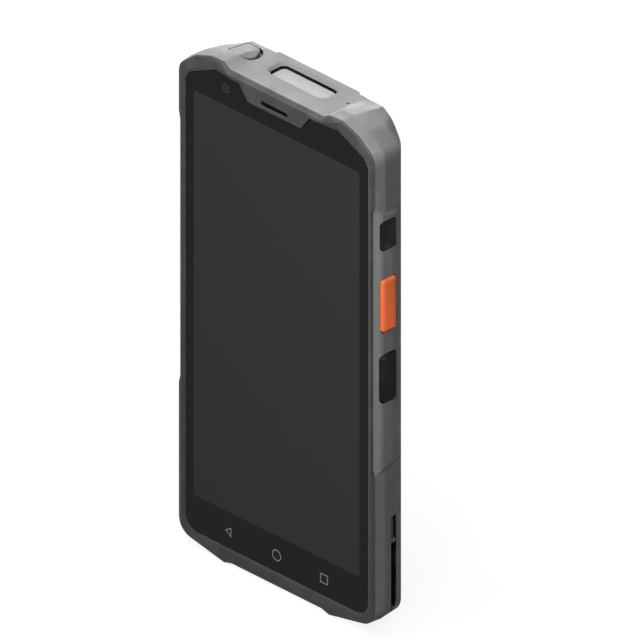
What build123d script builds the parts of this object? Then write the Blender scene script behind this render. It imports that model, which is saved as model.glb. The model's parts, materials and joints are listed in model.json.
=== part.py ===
from build123d import *
from math import atan2, degrees, radians, tan
import os

# Portable barcode data terminal: a touch handheld with a scan window in its top.
# Millimetres. X runs across, Z up from the feet, and Y back from the outer face of the
# cover glass, with X zero at the middle of the glass. The finished pieces are moved so that the
# origin is centred under the object. A drop is measured down from the top of the ears, and an
# inset in from the side or the end of what it belongs to.

# Outline of the body, front view
body_half = 37.0            # half width at the frame seam
body_height = 154.2         # top of the two ears
centre_drop = 1.5           # flat middle of the top, a little lower than the ears
centre_half = 17.6          # half width of that middle
ear_in = 20.1               # the ears start here
ear_out = 24.7              # and turn down into the corners here
crease_share = 0.49         # place of the corner crease between ear and side
crease_drop = 2.15
shoulder_drop = 7.0         # where the corner meets the side
corner_blend = 6.0          # roundings of the outline
shoulder_blend = 5.0
foot_blend = 5.5
foot_in = 19.8              # inner end of each foot
foot_slope = 0.197          # rise of the underside towards the sides
recess_half = 17.0          # middle of the underside, lifted off the table
recess_depth = 0.8

# Cross-sections of the body along its depth
seam_y = 0.4                # front face of the rear housing
facet_y = 3.55              # front facet meets the rear facet
facet_swell = 0.6           # the body is wider there than at the seam
band_y = 4.6                # end of the level band along the ears
rear_edge_inset = 0.6       # and narrower where the rear facet meets the back chamfer
back_y = 15.5               # back face
back_inset = 5.5
ear_fall = 9.0              # degrees that the ears fall towards the back
back_foot_rise = 2.5        # underside at the back face
back_shoulder = 8.0         # shoulder drop at the back face
hump_half = 15.9            # swelling of the back behind the scan engine
hump_height = 0.9
hump_bevel = 0.9

# Front frame and cover glass
lip_height = 0.3            # the frame stands in front of the glass at the sides
lip_bevel = 0.35
lip_slope = 1.0             # its inner edge slopes down to the glass over this width
tongue_height = 1.0         # and further at the earpiece
tongue_bevel = 0.9
tongue_foot = 0.2           # the tongue's foot is wider than the notch's mouth
crest_rise = 1.4            # its crest draws in from the ends
crest_edge = 0.7
seam_gap = 0.2
glass_margin = 2.65         # side of the glass to the side of the body
glass_bottom_z = 5.2
glass_top_drop = 3.5
glass_foot_blend = 4.5
glass_blend = 2.0
glass_thickness = 1.1
glass_gap = 0.1
glass_crown_inset = 1.9     # end of the glass's level top edge
glass_shoulder_inset = 1.55
glass_shoulder_drop = 8.2
glass_side_drop = 10.8      # where the shoulder meets the side
notch_half = 10.0           # notch for the earpiece tongue
notch_drop = 7.9
notch_mouth_half = 13.35
adhesive_thickness = 0.2
adhesive_inset = 0.3
slot_length = 10.0          # earpiece slot
slot_width = 1.25
slot_drop = 6.0
mesh_thickness = 0.2
mesh_depth = 0.7            # mesh face behind the tongue's face
gasket_inset = 0.6          # gasket in the seam
gasket_lap = 0.1
gasket_relief = 0.5

# Display, chassis and boards
display_inset = 2.15        # side of the display to the side of the glass
display_bottom_z = 13.4
display_top_drop = 10.4
display_thickness = 2.0
display_gap = 0.3
wall = 1.9                  # side wall of the rear housing
skirt_gap = 0.15            # frame skirt in the housing
chassis_thickness = 0.9
chassis_drop = 10.7
board_lift = 0.6            # boards stand off the chassis
board_thickness = 0.8
board_gap = 0.3             # boards to the screw posts
main_margin = 3.9           # main board to the side wall
main_bottom_z = 48.0
main_drop = 23.2
sub_margin = 7.1
sub_bottom_z = 4.6
sub_length = 26.4
can_height = 1.4
can_gap = 0.4               # shields to the wall behind them
flex_half = 9.0
flex_thickness = 0.2
flex_overlap = 3.0
can_bevel = 0.3
can_margin = 1.0            # shields to the battery's contact block
can_spacing = 6.0
low_can_rise = 7.0          # lowest shield: up from the board's end
low_can_length = 14.0
low_can_width = 30.0
left_can_x = -14.0
left_can_width = 24.0
right_can_x = 13.0
right_can_width = 22.0
right_can_drop = 10.0       # the right shield ends this far below the left one
standoff_inset = 5.0
standoff_drop = 18.0
sub_standoff_inset = 8.0
sub_standoff_drop = 4.0

# Rear housing inside
bay_floor = 1.4             # floor of the battery bay, and the depth of the bay in the slab
bay_depth = 2.0
bay_margin = 2.6            # bay to the side of the back face
bay_rise = 4.3              # bay to the lower end of the cover
bay_drop = 44.2
bay_blend = 2.0
head_margin = 8.0           # head room to the side of the body
head_floor = 1.4            # wall between the cover and the head room
head_drop = 3.9
head_corner_drop = 7.2
foot_margin = 9.0
foot_room_bottom_z = 4.6
foot_ceiling = 2.0          # wall between the foot room and the cover

# Battery cover
cover_bottom_z = 14.7
cover_drop = 23.0
cover_gap = 0.15
cover_wall = 1.7
notch_pitch = 27.1          # four shallow grooves across each back chamfer
notch_count = 4
notch_r = 1.6
notch_depth = 0.45
hook_length = 3.0
hook_width = 1.0
hook_depth = 1.6
hook_inset = 2.2
hook_gap = 0.2
battery_gap = 0.3
seal_width = 1.2
seal_depth = 0.6
seal_inset = 0.5
battery_reach = 0.9         # contact block stands into the bay
contact_block_half = 4.6
contact_block_height = 4.0

# Side pads and keys
pad_bottom_z = 48.7
pad_drop = 21.5
pad_rise = 0.6              # pads stand out from the facets
pad_mid_rise = 0.05
pad_ramp = 2.6
pad_front_y = 2.0
pad_rear_y = 6.0
pad_mid_y = 8.3
pad_rear_cut = 3.0          # the pad is shorter along its rear edge
pad_mid_share = 0.75        # part of its ramp and cut half way out
pad_top_share = 0.6         # part of its cut at its face
pad_lead = 1.0              # lead-in of a pad, and the depth that the body gives up there
pad_lead_depth = 0.55
pad_frame_inset = 0.9       # the frame is narrower beside the pads
key_y = 4.15
key_width = 5.3
key_rise = 0.8              # keys stand out from the pads
key_bevel = 0.6
key_blend = 1.0
key_face_blend = 0.6
key_gap = 0.22
key_travel = 0.4
key_flange = 0.9            # stop at each end of a key, inside the wall
key_flange_thickness = 0.5
power_drop = 31.0
power_length = 8.6
scan_drop = 52.4
scan_length = 16.2
volume_drop = 74.95
volume_length = 14.3
volume_gap = 0.35
switch_board_thickness = 0.4
switch_height = 0.4
switch_size = 3.2
scan_switch_place = 4.5     # two switches under the scan key, and under the rocker
volume_switch_place = 4.7
rocker_gap = 0.3            # room for the rocker's ends to rise
rocker_flange_thickness = 0.4
switch_margin = 2.0
switch_gap = 0.3
switch_wall_thickness = 0.6
switch_front_y = 1.6
switch_clearance = 0.4      # switch boards to the wall behind them

# Strap pocket, bar and guide groove in the lower rear facets
groove_y = 7.25
groove_width = 2.2
groove_depth = 1.3
pocket_length = 7.4
bar_bottom_z = 26.0
bar_width = 1.2
bar_depth = 0.5

# Scan window and engine
window_half = 10.4
window_depth = 6.1
window_margin = 2.2         # window to the back face
window_blend = 1.8
window_bevel = 0.9
window_rim = 0.3
window_sink = 1.45          # window face below the middle of the top
window_thickness = 1.0
engine_half = 11.0
engine_margin = 0.8         # engine in front of the wall behind the boards
engine_back_gap = 0.2
engine_drop = 20.4
engine_gap = 0.3
engine_ports = [(-6.5, 2.6), (0.5, 1.8), (6.5, 2.2)]    # illuminator, aimer and imager
engine_port_depth = 1.5
seal_lip = 0.2
seal_flange = 0.25
bracket_thickness = 0.7
bracket_half = 15.5
bracket_height = 12.0
bracket_post_inset = 2.0
bracket_post_r = 1.6

# Port cover, headset jack and microphone
port_x = -21.2
port_margin = 5.5           # middle of the port to the back face
port_r = 3.8
port_strap = 3.2            # middle of the port to the line where its cover bends
port_thickness = 1.2
port_gap = 0.15
port_finger_gap = 0.6       # at its free end, for a fingernail
stopper_r = 2.5
stopper_length = 1.6
mouth_r = 3.3
jack_bore_r = 1.8
jack_bore_length = 13.0
jack_width = 7.0
jack_depth = 5.4
jack_length = 14.5
jack_margin = 0.3
mic_x = 17.2
mic_margin = 5.7
mic_r = 0.5
mic_size = 3.0
mic_thickness = 1.2

# Cameras and flash
selfie_x = -19.1
selfie_drop = 7.7
selfie_r = 1.3
selfie_body_r = 2.2
selfie_depth = 3.0
selfie_gap = 0.15
camera_inset = 14.0
camera_drop = 11.2
camera_r = 4.2
camera_depth = 5.0
camera_window_r = 3.9
camera_window_thickness = 0.7
camera_window_sink = 0.2
bezel_r = 5.4
bezel_height = 0.3
bezel_seat = 0.8
flash_drop = 19.6
flash_r = 1.8
flash_ledge = 0.6
flash_sink = 0.1

# Receiver, speaker, motor, socket and contacts
receiver_half = 6.0
receiver_height = 4.0
receiver_gap = 0.15
speaker_x = -15.5
speaker_half = 7.0
speaker_height = 7.6
speaker_thickness = 3.2
grille_slots = 5
grille_pitch = 2.4
grille_slot_length = 5.0
grille_slot_width = 1.1
grille_mesh_thickness = 0.2
grille_mesh_margin = 0.25
motor_x = 18.0
motor_r = 3.8
motor_thickness = 2.7
usb_half = 4.5
usb_height = 3.3
usb_length = 7.4
usb_shell = 0.35
usb_mouth_depth = 0.6
usb_gap = 0.15
contact_pitch = 2.2
contact_count = 4
contact_x = 9.0
contact_r = 0.8
contact_length = 4.2
contact_sink = 0.1

# Screws: how far in from the side, and down from the top or up from the feet
upper_screw_inset = 13.0
upper_screw_drop = 30.2
middle_screw_inset = 4.0
middle_screw_z = 46.0
lower_screw_inset = 5.4
lower_screw_z = 17.4
screw_head_r = 1.8
screw_head_height = 1.3
screw_r = 0.95
screw_gap = 0.05
screw_sink = 0.2
boss_r = 1.9
boss_gap = 0.8              # the housing's bosses reach this far into the boards' room

past = 1.0                  # cuts run this far past what they cut

# Half widths, worked out from the above
facet_half = body_half + facet_swell
rear_edge_half = body_half - rear_edge_inset
back_half = body_half - back_inset
pad_half = facet_half + pad_rise
pad_mid_half = facet_half + pad_mid_rise
pad_frame_half = body_half - pad_frame_inset
key_top_half = pad_half + key_rise
glass_half = body_half - glass_margin
glass_shoulder_half = glass_half - glass_shoulder_inset
glass_crown = ear_out - glass_crown_inset
display_half = glass_half - display_inset
room_half = body_half - wall
main_half = room_half - main_margin
sub_half = room_half - sub_margin
bay_half = back_half - bay_margin
head_half = body_half - head_margin
head_corner_half = jack_width / 2 + jack_margin - port_x
foot_room_half = body_half - foot_margin
bracket_post_x = bracket_half - bracket_post_inset
port_hinge_x = port_x - port_strap
camera_x = body_half - camera_inset
key_inner_half = room_half - key_flange_thickness
switch_face_half = key_inner_half - key_travel - screw_gap
switch_half = switch_face_half - switch_height

# Depths, from the glass to the back
frame_back_y = seam_y - seam_gap
ledge_y = glass_thickness + adhesive_thickness
chassis_y = glass_thickness + display_thickness
chassis_back_y = chassis_y + chassis_thickness
board_y = chassis_back_y + board_lift
board_back_y = board_y + board_thickness
room_y = board_back_y + can_height + can_gap
bay_floor_y = room_y + bay_floor
slab_y = bay_floor_y + bay_depth
rear_edge_y = slab_y        # the cover's parting line is where the back chamfer starts
rear_room_y = back_y - wall
port_y = back_y - port_margin
mic_y = back_y - mic_margin
boss_y = room_y - boss_gap
switch_back_y = room_y - switch_clearance
usb_y = board_back_y + usb_gap + usb_height / 2
window_back_y = back_y - window_margin
window_front_y = window_back_y - window_depth
engine_front_y = room_y - engine_margin
engine_back_y = rear_room_y - engine_back_gap
depth_back = back_y + hump_height
middle_y = (depth_back - tongue_height) / 2
middle_x = (key_top_half - pad_half) / 2     # the keys stand out on the right only

# Heights, from the feet to the top
bar_top_z = bar_bottom_z + bar_width
pocket_top_z = bar_top_z + pocket_length
sub_top_z = sub_bottom_z + sub_length
foot_room_top_z = cover_bottom_z - foot_ceiling
foot_room_z = (foot_room_bottom_z + foot_room_top_z) / 2
bay_bottom_z = cover_bottom_z + bay_rise
bay_top_z = body_height - bay_drop
contact_block_z = bay_top_z - contact_block_height
main_top_z = body_height - main_drop
cover_top_z = body_height - cover_drop
pad_top_z = body_height - pad_drop
power_z = body_height - power_drop
scan_z = body_height - scan_drop
volume_z = body_height - volume_drop
flash_z = body_height - flash_drop
camera_z = body_height - camera_drop
engine_bottom_z = body_height - engine_drop
head_bottom_z = cover_top_z + head_floor
head_corner_z = body_height - head_corner_drop
head_top_z = body_height - head_drop
chassis_top_z = body_height - chassis_drop
display_top_z = body_height - display_top_drop
glass_side_z = body_height - glass_side_drop
glass_shoulder_z = body_height - glass_shoulder_drop
notch_z = body_height - notch_drop
selfie_z = body_height - selfie_drop
slot_z = body_height - slot_drop
glass_top_z = body_height - glass_top_drop
centre_z = body_height - centre_drop

key_places = [(power_z, power_length), (scan_z, scan_length), (volume_z, volume_length)]
screw_places = [
    (body_half - upper_screw_inset, body_height - upper_screw_drop),
    (body_half - middle_screw_inset, middle_screw_z),
    (body_half - lower_screw_inset, lower_screw_z),
]


def flat(face, y):
    """Place a drawing of the front view at depth y."""
    return Plane.XZ.offset(-y) * face


def slab(face, front, back):
    """Front-view drawing as a plate from one depth to another."""
    return extrude(flat(face, back), amount=back - front)


def upright(face, low, high):
    """Top-view drawing as a block from one height to another."""
    return extrude(Plane.XY.offset(low) * face, amount=high - low)


def sideways(face, start, end):
    """Side-view drawing as a block from one half width to another, on the right side."""
    return extrude(Plane.YZ.offset(start) * face, amount=end - start)


def block(x0, x1, y0, y1, z0, z1):
    """Plain box between six limits."""
    centre = ((x0 + x1) / 2, (y0 + y1) / 2, (z0 + z1) / 2)
    return Pos(*centre) * Box(x1 - x0, y1 - y0, z1 - z0)


def rod_y(x, z, r, y0, y1):
    """Round rod along Y."""
    return slab(Pos(x, z) * Circle(r), y0, y1)


def rod_z(x, y, r, z0, z1):
    """Round rod along Z."""
    return upright(Pos(x, y) * Circle(r), z0, z1)


def both_sides(piece):
    """A right-hand piece together with its mirror image."""
    return piece + mirror(piece, about=Plane.YZ)


def drawn(points, blends=None):
    """Closed outline through points, with named corners rounded."""
    face = make_face(Polyline(*points, close=True))
    for index, radius in (blends or {}).items():
        corner = face.vertices().sort_by_distance((*points[index], 0))[0]
        face = fillet(corner, radius)
    return face


def symmetric(right, blends):
    """Outline from its right half, listed from the top middle down to the foot."""
    left = [(-x, z) for x, z in reversed(right)]
    last = 2 * len(right) - 1
    mirrored = {last - index: r for index, r in blends.items()}
    return drawn(right + left, {**blends, **mirrored})


def body_outline(half, ear_z, shoulder, foot_z):
    """Front view of the body at one depth."""
    right = [
        (centre_half, centre_z),
        (ear_in, ear_z),
        (ear_out, ear_z),
        (ear_out + (half - ear_out) * crease_share, ear_z - crease_drop),
        (half, ear_z - shoulder),
        (half, foot_z + (half - foot_in) * foot_slope),
        (foot_in, foot_z),
        (recess_half, foot_z + recess_depth),
    ]
    return symmetric(right, {3: corner_blend, 4: shoulder_blend, 5: foot_blend})


def between(y, y0, value0, y1, value1):
    """Value at depth y on the straight line between two depths."""
    return value0 + (value1 - value0) * (y - y0) / (y1 - y0)


def ear_z_at(y):
    """Height of the ears at depth y."""
    return body_height - max(0.0, y - band_y) * tan(radians(ear_fall))


def half_at(y):
    """Half width of the body at depth y."""
    if y <= facet_y:
        return between(y, seam_y, body_half, facet_y, facet_half)
    if y <= rear_edge_y:
        return between(y, facet_y, facet_half, rear_edge_y, rear_edge_half)
    return between(y, rear_edge_y, rear_edge_half, back_y, back_half)


def station(y):
    """Cross-section of the body at depth y, placed there."""
    share = max(0.0, (y - rear_edge_y) / (back_y - rear_edge_y))
    shoulder = shoulder_drop + share * (back_shoulder - shoulder_drop)
    return flat(body_outline(half_at(y), ear_z_at(y), shoulder, share * back_foot_rise), y)


def body_form():
    """Whole outer form behind the frame seam, without the hump."""
    depths = [seam_y, facet_y, band_y, rear_edge_y, back_y]
    return loft([station(y) for y in depths], ruled=True)


def hump_form():
    """Swelling of the back behind the scan engine."""
    low, high = cover_top_z + cover_gap, centre_z
    wide = drawn([(-hump_half, low), (hump_half, low), (hump_half, high), (-hump_half, high)])
    x, z = hump_half - hump_bevel, low + hump_bevel
    narrow = drawn([(-x, z), (x, z), (x, high), (-x, high)])
    return loft([flat(wide, back_y), flat(narrow, back_y + hump_height)], ruled=True)


def inset_outline(inset):
    """Front view of the body at the seam, drawn in by an inset."""
    outline = body_outline(body_half, body_height, shoulder_drop, 0.0)
    return offset(outline, amount=-inset, kind=Kind.INTERSECTION) if inset else outline


def pad_side(front, rear, ramp, rear_cut):
    """Side view of a key pad, Y across and Z up."""
    return drawn([
        (front, pad_bottom_z + ramp),
        (front, pad_top_z - ramp),
        (rear, pad_top_z - ramp - rear_cut),
        (rear, pad_bottom_z + ramp + rear_cut),
    ])


def key_pad():
    """Raised pad on the right side, which carries the keys; the left side has the same pad without keys."""
    foot = pad_side(seam_y, rear_edge_y, 0, pad_rear_cut)
    half_way = pad_side((seam_y + pad_front_y) / 2, pad_mid_y, pad_ramp * pad_mid_share,
                        pad_rear_cut * pad_mid_share)
    top = pad_side(pad_front_y, pad_rear_y, pad_ramp, pad_rear_cut * pad_top_share)
    sections = [(room_half, foot), (pad_frame_half, foot), (pad_mid_half, half_way), (pad_half, top)]
    return loft([Plane.YZ.offset(half) * face for half, face in sections], ruled=True)


def pad_relief(grow=0.0):
    """What the front frame leaves free for a pad, front view, right side."""
    outside = pad_half
    inside = pad_frame_half - grow
    return drawn([
        (outside, pad_bottom_z - grow),
        (inside + pad_lead, pad_bottom_z - grow),
        (inside, pad_bottom_z + pad_ramp - grow),
        (inside, pad_top_z - pad_ramp + grow),
        (inside + pad_lead, pad_top_z + grow),
        (outside, pad_top_z + grow),
    ])


def strip_span():
    """Lowest and highest point of the switch board behind the keys."""
    low = min(z - length / 2 for z, length in key_places) - switch_margin
    high = max(z + length / 2 for z, length in key_places) + switch_margin
    return low, high


def key_room(front):
    """Space for the switch board and the keys inside the right wall."""
    low, high = strip_span()
    return block(switch_half - switch_board_thickness, body_half + pad_half, front, room_y + past,
                 low - switch_gap, high + switch_gap)


def glass_outline(grow=0.0):
    """Cover glass, front view, with the notch at its top."""
    face = drawn([
        (glass_half, glass_bottom_z), (glass_half, glass_side_z),
        (glass_shoulder_half, glass_shoulder_z), (glass_crown, glass_top_z),
        (notch_mouth_half, glass_top_z), (notch_half, notch_z),
        (-notch_half, notch_z), (-notch_mouth_half, glass_top_z),
        (-glass_crown, glass_top_z), (-glass_shoulder_half, glass_shoulder_z),
        (-glass_half, glass_side_z), (-glass_half, glass_bottom_z),
    ], {0: glass_foot_blend, 1: glass_blend, 2: glass_blend, 9: glass_blend, 10: glass_blend,
        11: glass_foot_blend})
    return offset(face, amount=grow, kind=Kind.INTERSECTION) if grow else face


def display_outline(grow=0.0):
    """Display panel, front view."""
    height = display_top_z - display_bottom_z
    middle = (display_top_z + display_bottom_z) / 2
    return Pos(0, middle) * Rectangle(2 * (display_half + grow), height + 2 * grow)


def cover_glass():
    """Notched cover glass."""
    return slab(glass_outline(), 0, glass_thickness)


def glass_adhesive():
    """Adhesive frame under the rim of the glass."""
    ring = glass_outline(-adhesive_inset) - display_outline(display_gap)
    ring -= Pos(selfie_x, selfie_z) * Circle(selfie_body_r + selfie_gap)
    return slab(ring, glass_thickness, ledge_y)


def display_panel():
    """Display bonded to the back of the glass."""
    return slab(display_outline(), glass_thickness, chassis_y)


def tongue():
    """Raised earpiece tongue above the glass, running out along the ears."""
    tips = [(notch_half, notch_z), (notch_mouth_half + tongue_foot, glass_top_z), (glass_crown, glass_top_z),
            (ear_out, body_height - lip_bevel), (ear_in, body_height - lip_bevel),
            (centre_half, centre_z - lip_bevel)]
    crest = [(notch_half, notch_z), (notch_mouth_half, glass_top_z),
             (notch_mouth_half + crest_rise, glass_top_z),
             (centre_half + crest_rise, centre_z - tongue_bevel),
             (centre_half + crest_edge, centre_z - tongue_bevel), (centre_half, centre_z - tongue_bevel)]
    outlines = [drawn(pts + [(-x, z) for x, z in reversed(pts)]) for pts in (tips, crest)]
    return loft([flat(outlines[0], -lip_height), flat(outlines[1], -tongue_height)], ruled=True)


def glass_slope():
    """What the lip gives up where it slopes down to the glass, everywhere but at the tongue."""
    deep = glass_outline(glass_gap)
    wide = glass_outline(glass_gap + 2 * lip_slope)
    slope = loft([flat(deep, 0), flat(wide, -2 * lip_height)], ruled=True)
    return slope - block(-glass_crown, glass_crown, -2 * lip_height - past, past, notch_z, body_height)


def top_collar():
    """Edge of the frame that closes the seam round the top."""
    ring = slab(inset_outline(0) - inset_outline(gasket_inset), frame_back_y, seam_y)
    return ring & block(-body_half, body_half, 0, seam_y + past, body_height - shoulder_drop, body_height)


def receiver_box(grow=0.0):
    """Earpiece receiver behind its slot."""
    back = chassis_y - receiver_gap
    half, height = receiver_half + grow, receiver_height / 2 + grow
    return block(-half, half, ledge_y - grow, back + grow, slot_z - height, slot_z + height)


def front_frame():
    """Moulded frame round the glass, with the earpiece tongue and a skirt into the housing."""
    seam, front = inset_outline(0), inset_outline(lip_bevel)
    rim = slab(seam, -lip_height + lip_bevel, frame_back_y)
    rim += loft([flat(front, -lip_height), flat(seam, -lip_height + lip_bevel)], ruled=True)
    rim -= glass_slope()
    rim += top_collar()
    skirt = slab(inset_outline(wall + skirt_gap), frame_back_y, chassis_y)
    frame = rim + skirt + tongue()
    frame -= slab(glass_outline(glass_gap), -tongue_height - past, ledge_y)
    frame -= slab(display_outline(display_gap), 0, chassis_y + past)
    frame -= both_sides(slab(pad_relief(), -lip_height - past, frame_back_y))
    frame -= key_room(ledge_y)
    slot = Pos(0, slot_z) * SlotOverall(slot_length, slot_width)
    frame -= slab(slot, -tongue_height - past, ledge_y)
    frame -= receiver_box(receiver_gap)
    frame -= block(-receiver_half, receiver_half, chassis_y - past, chassis_y + past,
                   slot_z - receiver_height / 2, slot_z + receiver_height / 2)
    frame -= rod_y(selfie_x, selfie_z, selfie_body_r + selfie_gap, 0, chassis_y + past)
    return frame


def frame_seal():
    """Dark gasket in the seam between frame and housing."""
    ring = slab(inset_outline(gasket_inset) - inset_outline(wall - gasket_lap), frame_back_y, seam_y)
    return ring - both_sides(slab(pad_relief(gasket_relief), frame_back_y - past, seam_y + past))


def earpiece_mesh():
    """Fine mesh across the earpiece slot."""
    face = -tongue_height + mesh_depth
    return slab(Pos(0, slot_z) * SlotOverall(slot_length, slot_width), face, face + mesh_thickness)


def front_camera():
    """Front camera module with its lens barrel against the glass."""
    body = rod_y(selfie_x, selfie_z, selfie_body_r, ledge_y, ledge_y + selfie_depth)
    return body + rod_y(selfie_x, selfie_z, selfie_r, glass_thickness, ledge_y)


def posts(r, y0, y1):
    """Rods at every screw place, on both sides."""
    return [rod_y(x * side, z, r, y0, y1) for x, z in screw_places for side in (-1, 1)]


def mid_chassis():
    """Metal plate behind the display, with standoffs for the boards and posts for the screws."""
    plate = slab(inset_outline(wall + skirt_gap), chassis_y, chassis_back_y)
    plate -= block(-body_half, body_half, 0, room_y, chassis_top_z, body_height)
    plate -= key_room(0)
    for post in posts(boss_r, chassis_y, boss_y):
        plate += post
    for hole in posts(screw_r + screw_gap, chassis_back_y, boss_y + past):
        plate -= hole
    for x, z in standoff_places():
        plate += block(x - boss_r, x + boss_r, chassis_y, board_y, z - boss_r, z + boss_r)
    return plate + switch_wall()


def switch_wall():
    """Upstand of the chassis that backs the switch board."""
    low, high = strip_span()
    outer = switch_half - switch_board_thickness
    return block(outer - switch_wall_thickness, outer, chassis_y, switch_back_y, low, high)


def standoff_places():
    """Board standoffs on the chassis."""
    x, low, high = main_half - standoff_inset, main_bottom_z + standoff_inset, main_top_z - standoff_drop
    main = [(-x, low), (x, low), (-x, high), (x, high)]
    x, low = sub_half - sub_standoff_inset, sub_top_z - sub_standoff_drop
    return main + [(-x, low), (x, low)]


def pad_shoulder():
    """Front corner that the body gives up where a pad begins."""
    edge, outside = pad_frame_half + pad_lead, facet_half
    low, high = pad_bottom_z, pad_top_z
    wide = drawn([(outside, low), (pad_frame_half, low + pad_ramp),
                  (pad_frame_half, high - pad_ramp), (outside, high)])
    thin = drawn([(outside, low), (edge, low + pad_ramp), (edge, high - pad_ramp), (outside, high)])
    return loft([flat(wide, seam_y), flat(thin, seam_y + pad_lead_depth)], ruled=True)


def housing_form():
    """Outer form of the rear housing, before anything is cut."""
    form = body_form() + hump_form()
    form -= both_sides(pad_shoulder())
    return form + both_sides(key_pad())


def key_face(length, grow=0.0):
    """Side view of a key or its hole, centred on the key."""
    return RectangleRounded(key_width + 2 * grow, length + 2 * grow, key_blend + grow)


def key_holes():
    """Holes for the keys through the right pad."""
    holes = []
    for z, length in key_places:
        gap = volume_gap if z == volume_z else key_gap
        holes.append(sideways(Pos(key_y, z) * key_face(length, gap), room_half - past, pad_half + past))
    return holes


def rounded_block(half, y0, y1, z0, z1, blend):
    """Plate across the body with rounded corners in front view."""
    face = Pos(0, (z0 + z1) / 2) * RectangleRounded(2 * half, z1 - z0, blend)
    return slab(face, y0, y1)


def head_room():
    """Room behind the top for the scan engine, the jack and the rear camera."""
    right = [(head_half, head_bottom_z), (head_half, head_corner_z), (head_corner_half, head_top_z)]
    face = drawn(right + [(-x, z) for x, z in reversed(right)])
    return slab(face, room_y - past, rear_room_y)


def window_face(grow=0.0):
    """Scan window, seen from above."""
    middle = (window_back_y + window_front_y) / 2
    face = RectangleRounded(2 * (window_half + grow), window_depth + 2 * grow, window_blend + grow)
    return Pos(0, middle) * face


def window_opening():
    """Bevelled recess for the scan window in the top."""
    shaft = upright(window_face(), head_top_z - past, centre_z)
    rim = [Plane.XY.offset(centre_z - window_bevel) * window_face(),
           Plane.XY.offset(centre_z) * window_face(window_bevel)]
    return shaft + loft(rim, ruled=True)


def port_face(grow=0.0, reach=0.0):
    """Port cover, seen from above: straight at its hinge, round at its free end."""
    length = port_x - port_hinge_x + grow
    face = Pos(port_x + reach, port_y) * Circle(port_r + grow)
    strip = Pos(port_x - length / 2, port_y) * Rectangle(length, 2 * (port_r + grow))
    left = Pos(port_x - length - port_r, port_y) * Rectangle(2 * port_r, 4 * port_r)
    return face + strip - left


def port_recess():
    """Seat of the port cover in the top, with its mouth over the jack."""
    seat = upright(port_face(port_gap, port_finger_gap - port_gap), head_top_z + past, body_height + past)
    seat -= Pos(0, 0, -(port_thickness + port_gap / 2)) * body_form()
    return seat + rod_z(port_x, port_y, mouth_r, head_top_z - past, body_height - port_thickness)


def strap_grooves():
    """Strap pocket and guide groove in the right rear facet, with the bar left between them."""
    surface = half_at(groove_y)
    y0, y1 = groove_y - groove_width / 2, groove_y + groove_width / 2
    groove = block(surface - groove_depth, pad_half, y0, y1, -past, bar_bottom_z)
    pocket = block(surface - groove_depth, pad_half, y0, y1, bar_top_z, pocket_top_z)
    over_bar = block(surface - bar_depth, pad_half, y0, y1, bar_bottom_z - past, bar_top_z + past)
    return groove + pocket + over_bar


def usb_mouth(grow, low, high):
    """Bore for the USB socket through the underside."""
    face = RectangleRounded(2 * (usb_half + grow), usb_height + 2 * grow, usb_height / 2 + grow - screw_gap)
    return upright(Pos(0, usb_y) * face, low, high)


def contact_places():
    """Charging contacts, along X."""
    return [contact_x + index * contact_pitch for index in range(contact_count)]


def grille_places():
    """Slots of the speaker grille, along X."""
    middle = (grille_slots - 1) / 2
    return [speaker_x + (index - middle) * grille_pitch for index in range(grille_slots)]


def underside_cuts():
    """Openings for the socket and the contacts."""
    high = foot_room_bottom_z + past
    holes = [rod_z(x, usb_y, contact_r + screw_gap, -past, high) for x in contact_places()]
    return [usb_mouth(usb_gap, -past, high)] + holes


def back_cuts():
    """Openings in the back: speaker grille, camera and flash."""
    inside, seat, outside = rear_room_y - past, back_y - bezel_seat, back_y + past
    slot = Rot(0, 0, 90) * SlotOverall(grille_slot_length, grille_slot_width)
    cuts = [slab(Pos(x, foot_room_z) * slot, inside, outside) for x in grille_places()]
    cuts.append(rod_y(camera_x, camera_z, bezel_r + screw_gap, seat, outside))
    cuts.append(rod_y(camera_x, camera_z, camera_window_r - bezel_seat, inside, back_y))
    cuts.append(rod_y(camera_x, flash_z, flash_r + screw_gap, seat, outside))
    cuts.append(rod_y(camera_x, flash_z, flash_r - flash_ledge, inside, back_y))
    return cuts


def notch_places():
    """Heights of the grooves across the back chamfers."""
    middle = (notch_count - 1) / 2
    centre = (cover_bottom_z + cover_top_z) / 2
    return [centre + (index - middle) * notch_pitch for index in range(notch_count)]


def edge_notches():
    """Shallow round grooves across the back chamfers, on both sides."""
    across, along = rear_edge_half - back_half, back_y - rear_edge_y
    rod = Pos(notch_r - notch_depth, 0, 0) * Rot(90, 0, 0) * Cylinder(notch_r, 2 * (across + along))
    place = Pos(back_half + across / 2, rear_edge_y + along / 2, 0) * Rot(0, 0, degrees(atan2(across, along)))
    return [both_sides(Pos(0, 0, z) * place * rod) for z in notch_places()]


def hooks(grow=0.0):
    """Snap hooks of the battery cover on the right side, or their pockets in the housing."""
    outer = rear_edge_half - hook_inset + grow
    inner = outer - hook_width - 2 * grow
    half = hook_length / 2 + grow
    front = slab_y - hook_depth - grow
    return [block(inner, outer, front, slab_y, z - half, z + half) for z in notch_places()]


def seal_ring(front, back):
    """Seal round the battery bay."""
    outer = bay_half + seal_inset + seal_width
    inner = bay_half + seal_inset
    ring = rounded_block(outer, front, back, bay_bottom_z - seal_inset - seal_width,
                         bay_top_z + seal_inset + seal_width, bay_blend + seal_inset + seal_width)
    return ring - rounded_block(inner, front - past, back + past, bay_bottom_z - seal_inset,
                                bay_top_z + seal_inset, bay_blend + seal_inset)


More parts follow.
